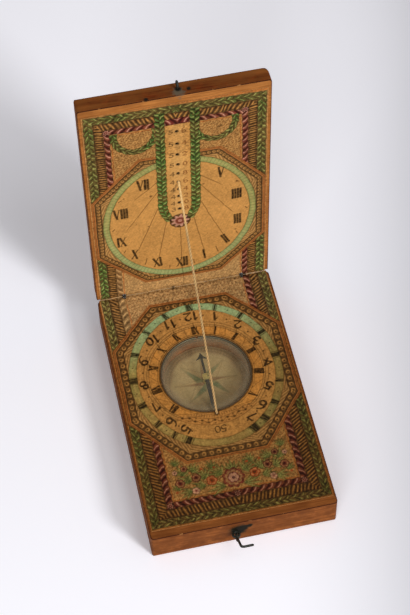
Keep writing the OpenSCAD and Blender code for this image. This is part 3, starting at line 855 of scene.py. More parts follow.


# Dark spots along the fold, as (u, radius): painted shade round the hinges' notches, and one nearer the
# middle
FOLD_SPOTS = ((-HINGE_X, 0.65), (HINGE_X, 0.65), (HINGE_X + 1.3, 0.4), (-3.5, 0.5))


def fold_wear(face, from_fold):
    """Wear and painted shade along the fold: a thin broken pale line of worn fibre, brown beside it that is
    dirt and painted shade in the corner, and dark spots of painted shade at the hinges.
    """
    bare = grain(face.u, face.u * 0, 1.4, face.seed + 9)
    # Brown beside the fold: dirt, and painted shade in the corner between the leaves
    face.lay("brown", inside(from_fold - 0.5 - 0.7 * bare, 0.4), 0.4)
    face.lay("fibre", inside(from_fold + 0.05 - 0.12 * bare, 0.08), 0.25 + 0.7 * bare)
    # Painted shade round the hinges' notches
    for x, radius in FOLD_SPOTS:
        found, du, _ = face.near(x, face.v[np.argmin(np.abs(from_fold))], 3.0)
        face.touch("line", found, inside(np.hypot(du, from_fold[found]) - radius, 0.25), 0.8)


# Base dial: its frame's corners, middle and half-axes of its ovals, where its hour lines meet, and the
# small dial inside
BASE_OCTAGON = [(13.5, 24.5), (28.6, 43.0), (28.6, 72.0), (13.7, 88.1), (-13.2, 88.4), (-28.6, 72.0),
                (-28.6, 43.0), (-13.5, 24.5)]
BASE_OVAL_V = 57.2
BASE_OUTER, BASE_INNER = (25.5, 28.6), (22.9, 26.0)
BASE_MARKS, BASE_FIGURES = (24.2, 27.3), (20.9, 23.6)
BASE_ROOT_V = 41.0
# The small dial round the compass: radii of its numbers and of its rings, and of the vine below it
SMALL_DIAL_R = 17.6
SMALL_RINGS = (16.2, 19.0, 19.7, 20.7)
VINE_R = 19.0
VINE_EDGES = (17.9, 20.4)
# Painted shade on the base's print: how much darker its colours are made than the lid's, in linear colour, as
# the level base takes less light than the upright lid
BASE_PAINTED_SHADE = (0.85, 0.81, 0.74)
ROMANS = ["XII", "I", "II", "III", "IIII", "V", "VI", "VII", "VIII", "IX", "X", "XI"]


def base_dial(face, latitude):
    """Oval ring of hour cells, amber ring of figures, and a small dial round the compass. All of them are
    read from the fold."""
    u, v = face.u, face.v
    x, y = u, v - BASE_OVAL_V
    compass_v = COMPASS[1] - FRONT
    face.lay("amber", inside(oval(x, y, *BASE_MARKS)), 0.88)
    ring, _ = oval_ring(face, x, y, BASE_OUTER, BASE_INNER)
    worn = np.clip(0.75 - (v - BASE_OVAL_V) / 40, 0, 1) * (0.3 + grain(u, v, 5.0, face.seed + 30))
    face.lay("amber", ring * worn, 0.5)
    face.lay("ring_fresh", ring * np.clip((v - 62) / 18, 0, 1), 0.85)
    face.lay("brown", ring * np.clip((u - 4) / 16, 0, 1) * np.clip((76 - v) / 20, 0, 1), 0.28)
    face.lay("brown", ring * np.clip((38 - v) / 8, 0, 1), 0.2)
    factor = np.sin(latitude)
    r = np.hypot(u, v - compass_v)
    north = inside(BASE_ROOT_V + 1.2 - v, 0.2)
    bright = 0.1 + 0.55 * grain(u, v, 4.0, face.seed + 31)
    numbers_in, numbers_out, quarters_out, hours_out = SMALL_RINGS
    face.lay("gold", band(r, REBATE_R, numbers_out) * north, bright)
    face.lay("orange", band(r, REBATE_R, 20.5) * (1 - north), 0.12)
    for radius in SMALL_RINGS:
        face.lay("line", stroke(r - radius, 0.2) * north, 0.65)
    vine(face, r, np.arctan2(u, compass_v - v), (1 - north) * inside(np.abs(u) - 15.5, 0.5))
    face.lay("line", stroke(r - REBATE_R - 0.1, 0.7, 0.25), 0.8)

    def place(line, a, b, shift):
        far = way_out(line, a, b, shift)
        return np.sin(line) * far, BASE_ROOT_V + np.cos(line) * far

    def mark(line, width, low, high, strength):
        across = ray(u, v - BASE_ROOT_V, line, width, 1.0)
        face.lay("line", across * band(r, low, high), strength)

    to_oval, to_compass = BASE_OVAL_V - BASE_ROOT_V, compass_v - BASE_ROOT_V
    for hour in range(-8, 9):
        line = hour_turn(hour, factor)
        name = ROMANS[hour % 12]
        a, b = place(line, *BASE_MARKS, to_oval)
        turn = np.degrees(np.arctan2(a / BASE_MARKS[0] ** 2, (b - BASE_OVAL_V) / BASE_MARKS[1] ** 2))
        wide = 0.9 + 0.45 * len(name)
        found, p, q = face.near(a, b, 3.4)
        around = turned(p, q, -turn)[0]
        face.touch("brown", found, inside(np.abs(around) - wide / 2) * ring[found], 0.35)
        for end in (-wide / 2, wide / 2):
            face.touch("leaf_dark", found, stroke(around - end, 0.24) * ring[found], 0.7)
        write(face, roman(name, 0.24, 0.12), a, b, 2.3, 180 - turn, stretch=0.8)
        if abs(hour) < 8:
            a, b = place(line, *BASE_FIGURES, to_oval)
            write(face, figures(str((hour - 1) % 12 + 1), 0.28, 0.12), a, b, 3.1, 180 - 0.35 * turn)
        if abs(hour) < 6:
            a, b = place(line, SMALL_DIAL_R, SMALL_DIAL_R, to_compass)
            turn = np.degrees(np.arctan2(a, b - compass_v))
            write(face, roman(name, 0.24, 0.12), a, b, 2.8, 180 - turn, stretch=0.85)
            mark(line, 0.24, numbers_out, hours_out, 0.75)
    for quarter in np.arange(-5.75, 6, 0.25):
        line = hour_turn(quarter, factor)
        mark(line, 0.16, numbers_out, quarters_out, 0.6)
        if quarter % 1 == 0.5:
            mark(line, 0.2, numbers_in, numbers_out, 0.6)
    for half in np.arange(-7.5, 8, 1.0):
        line = hour_turn(half, factor)
        dot(face, *place(line, *BASE_MARKS, to_oval), 0.24)
        dot(face, *place(line, *BASE_FIGURES, to_oval), 0.3)
    for sign in (-1, 1):
        segment(face, sign * 1.6, BASE_ROOT_V, sign * 19.0, BASE_ROOT_V, 0.18, strength=0.55)
    write(face, figures(str(round(np.degrees(latitude)))), 0.0, 34.8, 2.6, 180)
    dot(face, 0.0, STRING_FOOT[1] - FRONT, 0.85, strength=0.8, soft=0.3)


def vine(face, r, turn, where):
    """Waving stem round the compass's lower half, with a leaf and a berry in each of its bends."""
    pitch = np.radians(13)
    beat = wrap(turn, pitch) / pitch
    wave = VINE_R + 0.55 * np.sin(2 * np.pi * beat)
    face.lay("brown", stroke(r - wave, 0.24, 0.12) * where, 0.8)
    across = np.abs(beat) - 0.25
    for offset, size in ((-0.35, 0.42), (0.75, 0.26)):
        middle = VINE_R - offset * np.sign(beat)
        face.lay("line", inside(np.hypot(r - middle, 4.3 * across) - size, 0.14) * where, 0.75)
    for radius in VINE_EDGES:
        face.lay("brown", stroke(r - radius, 0.2) * where, 0.7)
    ticks = stroke(wrap(turn * VINE_EDGES[0], 0.9), 0.24, 0.1) * band(r, 16.4, 17.4)
    face.lay("brown", ticks * where, 0.55)


def leaf_shape(face, u, v, size, width, turn):
    """Pointed leaf along a turn in degrees, whose half-width follows a sine over its length, with a vein."""
    found, x, y = face.near(u, v, size * 1.1)
    x, y = turned(x, y, turn)
    edge = width / 2 * np.sin(np.pi * np.clip(x / size, 0, 1) ** 0.8)
    body = inside(np.abs(y) - edge) * band(x, 0, size)
    face.touch("leaf", found, body, 0.35)
    face.touch("leaf_pale", found, body * inside(y), 0.55)
    face.touch("leaf_dark", found, stroke(np.abs(y) - edge, 0.2) * band(x, 0, size), 0.5)
    veins = stroke(wrap(x - 0.5 * np.abs(y), 0.7), 0.2) * body
    rib = stroke(y, 0.16) * band(x, 0.1 * size, 0.85 * size)
    face.touch("leaf_dark", found, np.maximum(veins, rib), 0.35)


def blossom(face, u, v, radius, petals, ink, heart="crimson_dark"):
    """Round flower of equal petals, with dark veins, a pale ring of light and a dark heart."""
    found, x, y = face.near(u, v, radius * 1.3)
    r, turn = np.hypot(x, y), np.arctan2(y, x)
    edge = radius * (0.84 + 0.16 * np.abs(np.cos(petals * turn / 2)))
    face.touch(ink, found, inside(r - edge), 0.85)
    face.touch("pale", found, inside(np.abs(r - 0.68 * edge) - 0.1 * radius), 0.35)
    face.touch("line", found, stroke(r - edge, 0.2), 0.65)
    veins = stroke(r * np.sin(wrap(turn + np.pi / petals, 2 * np.pi / petals)), 0.16)
    face.touch("line", found, veins * inside(r - edge) * inside(0.3 * radius - r), 0.45)
    face.touch(heart, found, inside(r - 0.3 * radius), 0.85)


# Sprays of the posy on one side, as (u, v, length, turn, leaves)
POSY_SPRAYS = [
    (3.0, 13.6, 6.6, 4, 4), (3.6, 18.0, 5.8, 46, 6), (9.2, 15.0, 5.4, 14, 4), (9.0, 17.6, 5.4, 66, 6),
    (13.4, 17.6, 4.8, 30, 5), (13.6, 14.2, 4.6, -12, 4), (15.6, 20.2, 4.6, 82, 6), (12.6, 20.8, 4.0, 118, 5),
    (6.4, 20.6, 3.8, 100, 5), (17.6, 15.2, 3.2, 60, 4), (17.6, 24.2, 3.4, 100, 5),
]
# Stems of the posy on one side, parts of ovals, as (u, v, half-width, half-height, first and last angle)
POSY_STEMS = [
    (6.0, 13.0, 5.0, 6.0, 40, 165), (11.5, 14.0, 5.5, 6.4, 20, 150), (9.0, 21.0, 8.0, 5.2, 195, 330),
    (15.6, 17.0, 3.6, 6.0, 100, 250), (4.2, 22.5, 5.0, 3.0, 200, 350),
]
# Blossoms of the posy on one side, as (u, v, radius, petals, ink, heart)
POSY_BLOSSOMS = [
    (7.0, 16.6, 1.8, 5, "red", "brown"), (11.6, 18.6, 1.5, 5, "crimson", "crimson_dark"),
    (12.6, 14.0, 1.3, 5, "pink", "crimson"), (17.0, 17.6, 1.6, 6, "crimson", "crimson_dark"),
    (14.9, 22.6, 1.2, 5, "crimson", "crimson_dark"), (18.0, 21.8, 0.9, 5, "pink", "crimson_dark"),
]


def spray(face, u, v, size, turn, leaves, mirror):
    """Fan of narrow leaves from one point, the middle one the longest."""
    for k in range(leaves):
        off = k - (leaves - 1) / 2
        lean = turn + 23 * off
        if mirror < 0:
            lean = 180 - lean
        leaf_shape(face, mirror * u, v, size * (1 - 0.11 * abs(off)), 1.05, lean)


def posy(face):
    """Garden flowers at the base's free end, alike on both sides of the middle."""
    for sign in (-1, 1):
        for a, b, across, up, start, end in POSY_STEMS:
            points = np.array(arc(0, 0, across, up, start, end)) * (sign, 1)
            stem = np.column_stack([points[:-1], points[1:], np.full(len(points) - 1, 0.26)])
            write(face, stem, sign * a, b, 1.0, ink="leaf_dark", strength=0.65)
        for a, b, size, turn, leaves in POSY_SPRAYS:
            spray(face, a, b, size, turn, leaves, sign)
        for a, b, radius, petals, ink, heart in POSY_BLOSSOMS:
            blossom(face, sign * a, b, radius, petals, ink, heart)
        for a, b in ((18.6, 14.6), (9.6, 21.4), (5.4, 21.2)):
            dot(face, sign * a, b, 0.45, "red", 0.8)
    spray(face, 0.0, 18.6, 4.6, 90, 5, 1)
    blossom(face, 0.0, 16.2, 3.7, 9, "crimson")
    blossom(face, 0.0, 16.2, 1.8, 6, "pink")


def base_print(u, v, inks, latitude):
    """Colours of the base's face."""
    face = Face(u, v, 500, inks)
    side = np.abs(face.u)
    depth = np.maximum(side - FRAME_HALF, BASE_FRAME_V - face.v)
    on_end = BASE_FRAME_V - face.v > side - FRAME_HALF
    along = np.where(on_end, -side, -face.v)
    octagon = Octagon(face, BASE_OCTAGON)
    at_fold = np.clip((face.v - 66) / 16, 0, 1)
    face.lay("fibre", octagon.outside * at_fold, 0.75)
    stipple(face, octagon.outside * inside(depth), 1.2, 0.75, 61)
    worn = np.where((face.u < 0) & (face.v > 70), 0.1, 1.0)
    green = np.where(face.v > 70, 0.45, np.where(on_end, 0.35, 0.6))
    borders(face, octagon, depth, along, on_end, *BASE_BORDERS, worn, green)
    for x in (-ROSETTE_U, 0.0, ROSETTE_U):
        rosette(face, x, 10.3, 1.1)
    octagon_frame(face, octagon, 2.35, 0.75)
    base_dial(face, latitude)
    posy(face)
    fold_wear(face, BASE_HIGH[1] - FRONT - face.v)
    # Dirt that grows towards the front end and is left off next to the fold, partly painted shade where the
    # base's top takes less light
    far_end = np.clip((46 - face.v) / 30, 0, 1) * (depth > 0)
    age(face, u, v, octagon.outside * (0.38 + 0.32 * far_end) * (1 - at_fold), 0.85 + 0.4 * octagon.outside)
    # Painted light and shade: the base's print darkened as a whole, paler towards the fold as painted bounce
    # light from the lid, and darker towards the right
    painted_bounce_light = 1 + np.outer(np.clip((face.v - 62) / 20, 0, 1), (0.19, 0.26, 0.4))
    return face.rgb * BASE_PAINTED_SHADE * painted_bounce_light * (1 - 0.0035 * face.u)[:, None]


# The compass card: its two rings, and its rays as turn of the first, length, half-width at the widest and ink
CARD_RINGS = (12.4, 13.6)
CARD_RAYS = ((np.pi / 4, 10.4, 2.2, "card_green"), (0.0, 10.8, 1.3, "card_red"))


def card_print(u, v, inks):
    """Compass card: an eight-pointed star on pale lobes inside a brown rim, seen from its middle. Each ray
    narrows to its point, one half shaded, and the four main rays are the longer."""
    face = Face(u, v, 900, inks, "card_brown")
    r, turn = np.hypot(face.u, face.v), np.arctan2(face.u, face.v)
    face.lay("card_yellow", inside(r - 11.6 - 0.5 * np.cos(8 * turn), 0.7), 0.8)
    face.lay("brown", inside(np.abs(r - 12.2) - 0.3, 0.4), 0.25)
    for first, size, root, dark in CARD_RAYS:
        off = wrap(turn - first, np.pi / 2)
        ahead, aside = r * np.cos(off), r * np.sin(off)
        # from its widest place, half way between two rays' roots, a ray narrows evenly to its point
        edge = np.minimum(root * (size - ahead) / (size - root), ahead * 0.9)
        body = inside(np.abs(aside) - edge, 0.3)
        face.lay(dark, body * inside(aside, 0.2), np.clip(1.1 - ahead / 11, 0.3, 0.75))
        face.lay("pale", body * inside(-aside, 0.2), 0.15)
        face.lay("brown", stroke(np.abs(aside) - edge, 0.2, 0.2) * inside(ahead - size), 0.35)
    face.lay("brown", inside(12.9 - r, 0.5), 0.45)
    for radius in CARD_RINGS:
        face.lay("line", stroke(r - radius, 0.16), 0.4)
    degree_ticks = stroke(wrap(np.degrees(turn), 5) * r * np.pi / 180, 0.16) * band(r, *CARD_RINGS)
    face.lay("line", degree_ticks, 0.4)
    # Painted shade: the card darker towards the right and the front
    face.lay("brown", np.clip((face.u - 0.7 * face.v + 2) / 16, 0, 1), 0.34)
    age(face, u, v, 0.0, 0.3)
    return face.rgb


# Materials

def join(tree, node, inputs):
    """Gives each of a node's inputs its fixed value, or a link from another node's output."""
    for key, value in inputs.items():
        if isinstance(value, bpy.types.NodeSocket):
            tree.links.new(value, node.inputs[key])
        else:
            node.inputs[key].default_value = value


def add(tree, kind, inputs=None, **settings):
    """Adds a shader node with its settings and inputs."""
    node = tree.nodes.new("ShaderNode" + kind)
    for key, value in settings.items():
        setattr(node, key, value)
    join(tree, node, inputs or {})
    return node


def start_material(name):
    """New material, with its tree, its Principled shader and the place on the object in metres."""
    made = bpy.data.materials.new(name)
    made.use_nodes = True
    tree = made.node_tree
    return made, tree, tree.nodes["Principled BSDF"], add(tree, "TexCoord").outputs["Object"]


def rgba(setting):
    """A colour setting as a socket takes it."""
    return (*setting, 1.0)


def tinted(tone, factors):
    """A colour with its channels multiplied, none past 1."""
    return (*np.minimum(np.array(tone[:3]) * factors, 1), 1)


def dress(thing, made):
    """Gives a packed node or a new piece its material."""
    if not thing.material_slots:
        thing.data.materials.append(made)
    for held in thing.material_slots:
        held.link = "OBJECT"
        held.material = made


def reckon(tree, operation, *terms, **settings):
    """Result of a sum on sockets and numbers."""
    return add(tree, "Math", dict(enumerate(terms)), operation=operation, **settings).outputs[0]


def noise_on(tree, place, size, detail=2.0, **inputs):
    """Noise with features of that size in metres, on coordinates in metres."""
    inputs = {"Vector": place, "Scale": 1.0 / size, "Detail": detail, **inputs}
    return add(tree, "TexNoise", inputs).outputs["Fac"]


def ramp(tree, source, low, high, to_low=0.0, to_high=1.0):
    """Straight ramp from one range to another, held at its ends."""
    return add(tree, "MapRange", {0: source, 1: low, 2: high, 3: to_low, 4: to_high}).outputs[0]


def blend_colours(tree, factor, a, b, mode="MIX"):
    """Mix of two colours, each a socket or a fixed colour, by a socket or a number."""
    return add(tree, "Mix", {0: factor, 6: a, 7: b}, data_type="RGBA", blend_type=mode).outputs[2]


def stained(tree, face, tint, pattern, *range_and_strengths):
    """A colour with a tint over it, as strong as a ramp on a pattern makes it."""
    return blend_colours(tree, ramp(tree, pattern, *range_and_strengths), face, tint)


def relief(tree, height, strength, distance, **inputs):
    """Normal of a face with a fine relief, distance metres deep."""
    inputs = {"Height": height, "Strength": strength, "Distance": distance, **inputs}
    return add(tree, "Bump", inputs).outputs[0]


def distance_from(tree, place, centre):
    """Distance in metres from a point given in millimetres."""
    return add(tree, "VectorMath", {0: place, 1: tuple(np.array(centre) * MM)},
               operation="DISTANCE").outputs["Value"]


def spot_mask(tree, place, centre, reach, ragged, size):
    """1 at a point in millimetres and 0 past its reach in metres, with a ragged edge."""
    uneven = reckon(tree, "MULTIPLY_ADD", noise_on(tree, place, size), ragged,
                    distance_from(tree, place, centre))
    return ramp(tree, uneven, reach + ragged / 2, 0.5 * reach + ragged / 2)


def bore_mask(tree, place):
    """1 in the narrow upright strip of the lid that the row of latitude holes lies in, and 0 beside it."""
    across, _, up = add(tree, "SeparateXYZ", {0: place}).outputs
    middle = (HOLES_V[0] + HOLES_V[-1]) / 2
    reach = (HOLES_V[-1] - middle + 1) * MM
    beside = ramp(tree, reckon(tree, "ABSOLUTE", across), 0.00065, 0.0006)
    from_row = reckon(tree, "ABSOLUTE", reckon(tree, "ADD", up, -(FOLD + middle) * MM))
    return reckon(tree, "MULTIPLY", beside, ramp(tree, from_row, reach + 0.0001, reach))


def pearwood(name, tone, side_tone, dark_edge, chip, grain_width, flat_axis, stains, bores=None):
    """Pearwood, planed, stained and varnished by hand: a close brown grain across the leaf, narrow faces
    darker from handling, edges darkened and here and there chipped pale, and stains round its wires. bores is
    the colour of the painted shade inside the row of latitude holes."""
    made, tree, shader, place = start_material(name)
    drawn = add(tree, "Mapping", {"Vector": place, "Scale": (0.07, 1.0, 1.0)}).outputs[0]
    streak = noise_on(tree, drawn, grain_width, 3.0, Distortion=0.4)
    figure = noise_on(tree, drawn, 0.004, 2.0, Distortion=0.8)
    pores = noise_on(tree, drawn, grain_width * 0.35, 1.0)
    blotch = noise_on(tree, place, 0.009, 4.0)
    mottle = noise_on(tree, place, 0.0024, 4.0)
    # the broad faces look along the leaf's thickness, and all others are its narrow sides
    look = add(tree, "SeparateXYZ", {0: add(tree, "TexCoord").outputs["Normal"]}).outputs[flat_axis]
    broad = ramp(tree, reckon(tree, "ABSOLUTE", look), 0.55, 0.85)
    narrow = stained(tree, side_tone, tinted(side_tone, (1.7, 1.75, 1.8)), mottle, 0.38, 0.5, 0.75, 0.0)
    narrow = stained(tree, narrow, tinted(side_tone, (0.45, 0.4, 0.4)), mottle, 0.5, 0.66, 0.0, 0.6)
    ground = blend_colours(tree, broad, narrow, tone)
    paler = blend_colours(tree, 0.5, ground, tinted(tone, (1.3, 1.27, 1.2)))
    dark = tinted(tone, (0.5, 0.42, 0.36))
    face = stained(tree, ground, paler, figure, 0.35, 0.65, 0.0, 0.95)
    face = stained(tree, face, dark, streak, 0.4, 0.68, 0.0, 0.7)
    face = stained(tree, face, dark, pores, 0.62, 0.74, 0.0, 0.5)
    face = stained(tree, face, dark, blotch, 0.35, 0.62, 0.6, 0.0)
    # edges: where the surface turns within less than a millimetre
    rounded = add(tree, "Bevel", {"Radius": 0.0007}, samples=8).outputs[0]
    flat = add(tree, "NewGeometry").outputs["Normal"]
    bend = add(tree, "VectorMath", {0: rounded, 1: flat}, operation="DOT_PRODUCT").outputs["Value"]
    edge = ramp(tree, bend, 0.997, 0.91)
    for ink, size, low, high in ((dark_edge, 0.004, 0.08, 0.38), (chip, 0.0016, 0.66, 0.72)):
        broken = ramp(tree, noise_on(tree, place, size, 3.0), low, high)
        face = blend_colours(tree, reckon(tree, "MULTIPLY", edge, broken), face, ink)
    for centre, reach, ragged, tint in stains:
        face = blend_colours(tree, spot_mask(tree, place, centre, reach, ragged, 0.0012), face, tint)
    # Painted shade inside the latitude holes
    if bores:
        within = reckon(tree, "MULTIPLY", bore_mask(tree, place), ramp(tree, broad, 1.0, 0.0))
        face = blend_colours(tree, within, face, bores)
    height = reckon(tree, "MULTIPLY_ADD", streak, 0.5, pores)
    join(tree, shader, {
        "Base Color": face, "Roughness": ramp(tree, streak, 0.3, 0.8, 0.48, 0.66), "Specular IOR Level": 0.06,
        "Normal": relief(tree, height, 0.35, 0.00006, Normal=rounded)})
    return made


def printed_paper(name):
    """Laid rag paper, copperplate-printed, hand-coloured and varnished: the print's own colours, fine
    fibres and a soft uneven sheen."""
    made, tree, shader, place = start_material(name)
    ink = add(tree, "Attribute", attribute_name=PRINT_LAYER).outputs["Color"]
    fibre = noise_on(tree, place, 0.00025, 3.0)
    cockle = noise_on(tree, place, 0.006, 2.0)
    tone = ramp(tree, fibre, 0.25, 0.75, 0.86, 1.12)
    grey = add(tree, "CombineColor", {0: tone, 1: tone, 2: tone}).outputs[0]
    height = reckon(tree, "MULTIPLY_ADD", cockle, 6.0, fibre)
    join(tree, shader, {
        "Base Color": blend_colours(tree, 1.0, ink, grey, "MULTIPLY"), "Specular IOR Level": 0.08,
        "Roughness": ramp(tree, cockle, 0.3, 0.7, 0.5, 0.68), "Normal": relief(tree, height, 0.3, 0.00005)})
    return made


def paper_edge(name, tone):
    """Cut edge of old rag paper: soft brown fibres, matt."""
    made, tree, shader, place = start_material(name)
    fibre = noise_on(tree, place, 0.0004, 4.0)
    join(tree, shader, {
        "Base Color": stained(tree, tone, tinted(tone, 0.45), fibre, 0.35, 0.7), "Roughness": 0.8,
        "Normal": relief(tree, fibre, 0.3, 0.00003)})
    return made


def aged_metal(name, tone, skin, cover, roughness, size, bare=None):
    """Drawn or cut metal under a dull skin: brown and green patches over a worn, softly shining ground. bare
    is a place in millimetres, a reach in metres and a softness: within that reach the skin is left off as a
    painted highlight, and the skin beyond it is tarnish and painted shade."""
    made, tree, shader, place = start_material(name)
    patches = noise_on(tree, place, size, 4.0)
    scratches = noise_on(tree, place, size * 0.15, 2.0)
    covered = ramp(tree, patches, 0.62 - 0.4 * cover, 0.78 - 0.4 * cover)
    # Painted highlight: within bare's reach the skin is left off, so that side of the metal looks lit
    if bare:
        painted_lit_half = spot_mask(tree, place, *bare, 0.001)
        covered = reckon(tree, "SUBTRACT", covered, painted_lit_half, use_clamp=True)
    join(tree, shader, {
        "Base Color": blend_colours(tree, covered, tone, skin),
        "Metallic": ramp(tree, covered, 0, 1, 1.0, 0.25),
        "Roughness": ramp(tree, scratches, 0.3, 0.7, roughness - 0.1, roughness + 0.15),
        "Normal": relief(tree, scratches, 0.4, 0.00002)})
    return made


def dusty_glass(name, dust, haze):
    """Thin crown glass, never cleaned inside: brown dust, thicker towards the rim, hides part of what lies
    below, and the smooth face mirrors the room at low angles."""
    made, tree, shader, place = start_material(name)
    join(tree, shader, {"Base Color": dust, "Roughness": 0.6})
    cloud = ramp(tree, noise_on(tree, place, 0.005, 4.0), 0.3, 0.7, haze - 0.06, haze + 0.06)
    rim = ramp(tree, distance_from(tree, place, COMPASS), 0.0115, 0.0149, 0.0, 0.36)
    specks = noise_on(tree, place, 0.0004, 2.0)
    hidden = reckon(tree, "MULTIPLY_ADD", specks, 0.12, reckon(tree, "ADD", cloud, rim))
    # a ray on its way out has met the dust of the face where it came in
    entered = reckon(tree, "SUBTRACT", 1.0, add(tree, "NewGeometry").outputs["Backfacing"])
    hidden = reckon(tree, "MULTIPLY", hidden, entered)
    clear = add(tree, "BsdfTransparent", {"Color": (0.98, 0.99, 0.98, 1)})
    hazed = add(tree, "MixShader", {0: hidden, 1: clear.outputs[0], 2: shader.outputs[0]})
    mirror = add(tree, "BsdfGlossy", {"Roughness": 0.08, "Color": (1, 1, 1, 1)})
    glance = reckon(tree, "MULTIPLY", add(tree, "Fresnel", {"IOR": 1.45}).outputs[0], 0.6)
    glance = reckon(tree, "MULTIPLY", glance, entered)
    pane = add(tree, "MixShader", {0: glance, 1: hazed.outputs[0], 2: mirror.outputs[0]})
    join(tree, tree.nodes["Material Output"], {"Surface": pane.outputs[0]})
    return made


def linen_thread(name, tone, shade):
    """Two-strand linen thread, spun and waxed: pale strands with painted shade in the grooves and fine
    fibres, and a painted highlight that makes it paler near the lid."""
    made, tree, shader, place = start_material(name)
    groove = add(tree, "Attribute", attribute_name=GROOVE_LAYER).outputs["Fac"]
    fibre = noise_on(tree, place, 0.00018, 3.0)
    dirt = noise_on(tree, place, 0.006, 2.0)
    along = add(tree, "SeparateXYZ", {0: place}).outputs["Y"]
    # Painted shade in the grooves between the two strands
    face = stained(tree, tone, shade, groove, 0.35, 1.0, 0.0, 0.6)
    face = stained(tree, face, shade, fibre, 0.45, 0.8, 0.0, 0.4)
    face = stained(tree, face, shade, dirt, 0.45, 0.75, 0.0, 0.3)
    # Painted highlight: the thread paler near the lid
    face = stained(tree, face, tinted(tone, (1.45, 1.5, 1.6)), along, 0.034, 0.042, 0.0, 0.75)
    join(tree, shader, {"Base Color": face, "Roughness": 0.75, "Sheen Weight": 0.2,
                        "Normal": relief(tree, fibre, 0.5, 0.00004)})
    return made


def floor_card(name, tone, lift, fall):
    """Smooth pale card under soft light, with painted shade that greys it towards the right and painted light
    that makes it a little paler behind. The camera sees it brighter than it lights the dial."""
    made, tree, shader, place = start_material(name)
    # Painted shade: the floor's colour darkens towards the right
    right = add(tree, "VectorMath", {0: place, 1: FLOOR_RIGHT}, operation="DOT_PRODUCT")
    right = reckon(tree, "POWER", ramp(tree, right.outputs["Value"], 0.015, 0.07), 2.0)
    ground = blend_colours(tree, right, rgba(tone), tinted(tone, 1 - fall))
    along = add(tree, "SeparateXYZ", {0: place}).outputs["Y"]
    # Painted light: the camera sees the floor a little paler behind
    behind = ramp(tree, along, 0.03, 0.16, lift, 1.09 * lift)
    join(tree, shader, {"Base Color": ground, "Roughness": 0.9})
    strong = add(tree, "VectorMath", {0: ground, 3: behind}, operation="SCALE").outputs[0]
    bright = add(tree, "BsdfDiffuse", {"Color": strong})
    seen = add(tree, "LightPath").outputs["Is Camera Ray"]
    shown = add(tree, "MixShader", {0: seen, 1: shader.outputs[0], 2: bright.outputs[0]})
    join(tree, tree.nodes["Material Output"], {"Surface": shown.outputs[0]})
    return made


def seen_directly(tree):
    """1 for rays from the camera, a mirror or a clear pane, and 0 for the room's even light."""
    path = add(tree, "LightPath").outputs
    mirrored = reckon(tree, "MAXIMUM", path["Is Camera Ray"], path["Is Glossy Ray"])
    return reckon(tree, "MAXIMUM", mirrored, path["Is Transmission Ray"])


# Operators

class SundialOperator(bpy.types.Operator):
    """Shared by the sundial's operators."""

    bl_options = {"REGISTER", "UNDO"}


def place_holder(name, data, place, turn):
    """Puts a lamp or a camera in the scene."""
    holder = bpy.data.objects.new(name, data)
    holder.location = place
    holder.rotation_euler = turn
    bpy.context.scene.collection.objects.link(holder)
    return holder


class SUNDIAL_OT_stage(SundialOperator):
    """Adds the pale floor, the soft lamps and the camera at the viewing angle"""

    bl_idname = "sundial.stage"
    bl_label = "Stage"

    def execute(self, context):
        scene, settings = context.scene, context.scene.sundial_stage
        scene.view_settings.view_transform = "Standard"
        camera = bpy.data.cameras.new("view_camera")
        camera.lens = settings.lens
        camera.clip_start = 0.01
        scene.camera = place_holder("view_camera", camera, settings.place, settings.turn)
        half = FLOOR_HALF
        floor = new_piece("floor", [(-half, -half, FLOOR_Z), (half, -half, FLOOR_Z), (half, half, FLOOR_Z),
                                    (-half, half, FLOOR_Z)], [(0, 1, 2, 3)])
        dress(floor, floor_card("pale card floor", settings.floor, settings.floor_lift, settings.floor_fall))
        for name, place, power in (("side_lamp", settings.side_place, settings.side_power),
                                   ("front_lamp", settings.front_place, settings.front_power),
                                   ("top_lamp", settings.top_place, settings.top_power)):
            lamp = bpy.data.lights.new(name, "AREA")
            lamp.shape = "DISK"
            lamp.size = settings.lamp_size
            lamp.energy = power
            place_holder(name, lamp, place, Vector(place).to_track_quat("Z", "Y").to_euler())
        world = bpy.data.worlds.new("room")
        world.use_nodes = True
        tree = world.node_tree
        room = tree.nodes["Background"]
        join(tree, room, {"Color": (1.0, 0.98, 0.96, 1), "Strength": settings.sky})
        wall = add(tree, "Background", {"Color": rgba(settings.floor)})
        shown = add(tree, "MixShader", {0: seen_directly(tree), 1: room.outputs[0], 2: wall.outputs[0]})
        join(tree, tree.nodes["World Output"], {"Surface": shown.outputs[0]})
        scene.world = world
        return {"FINISHED"}


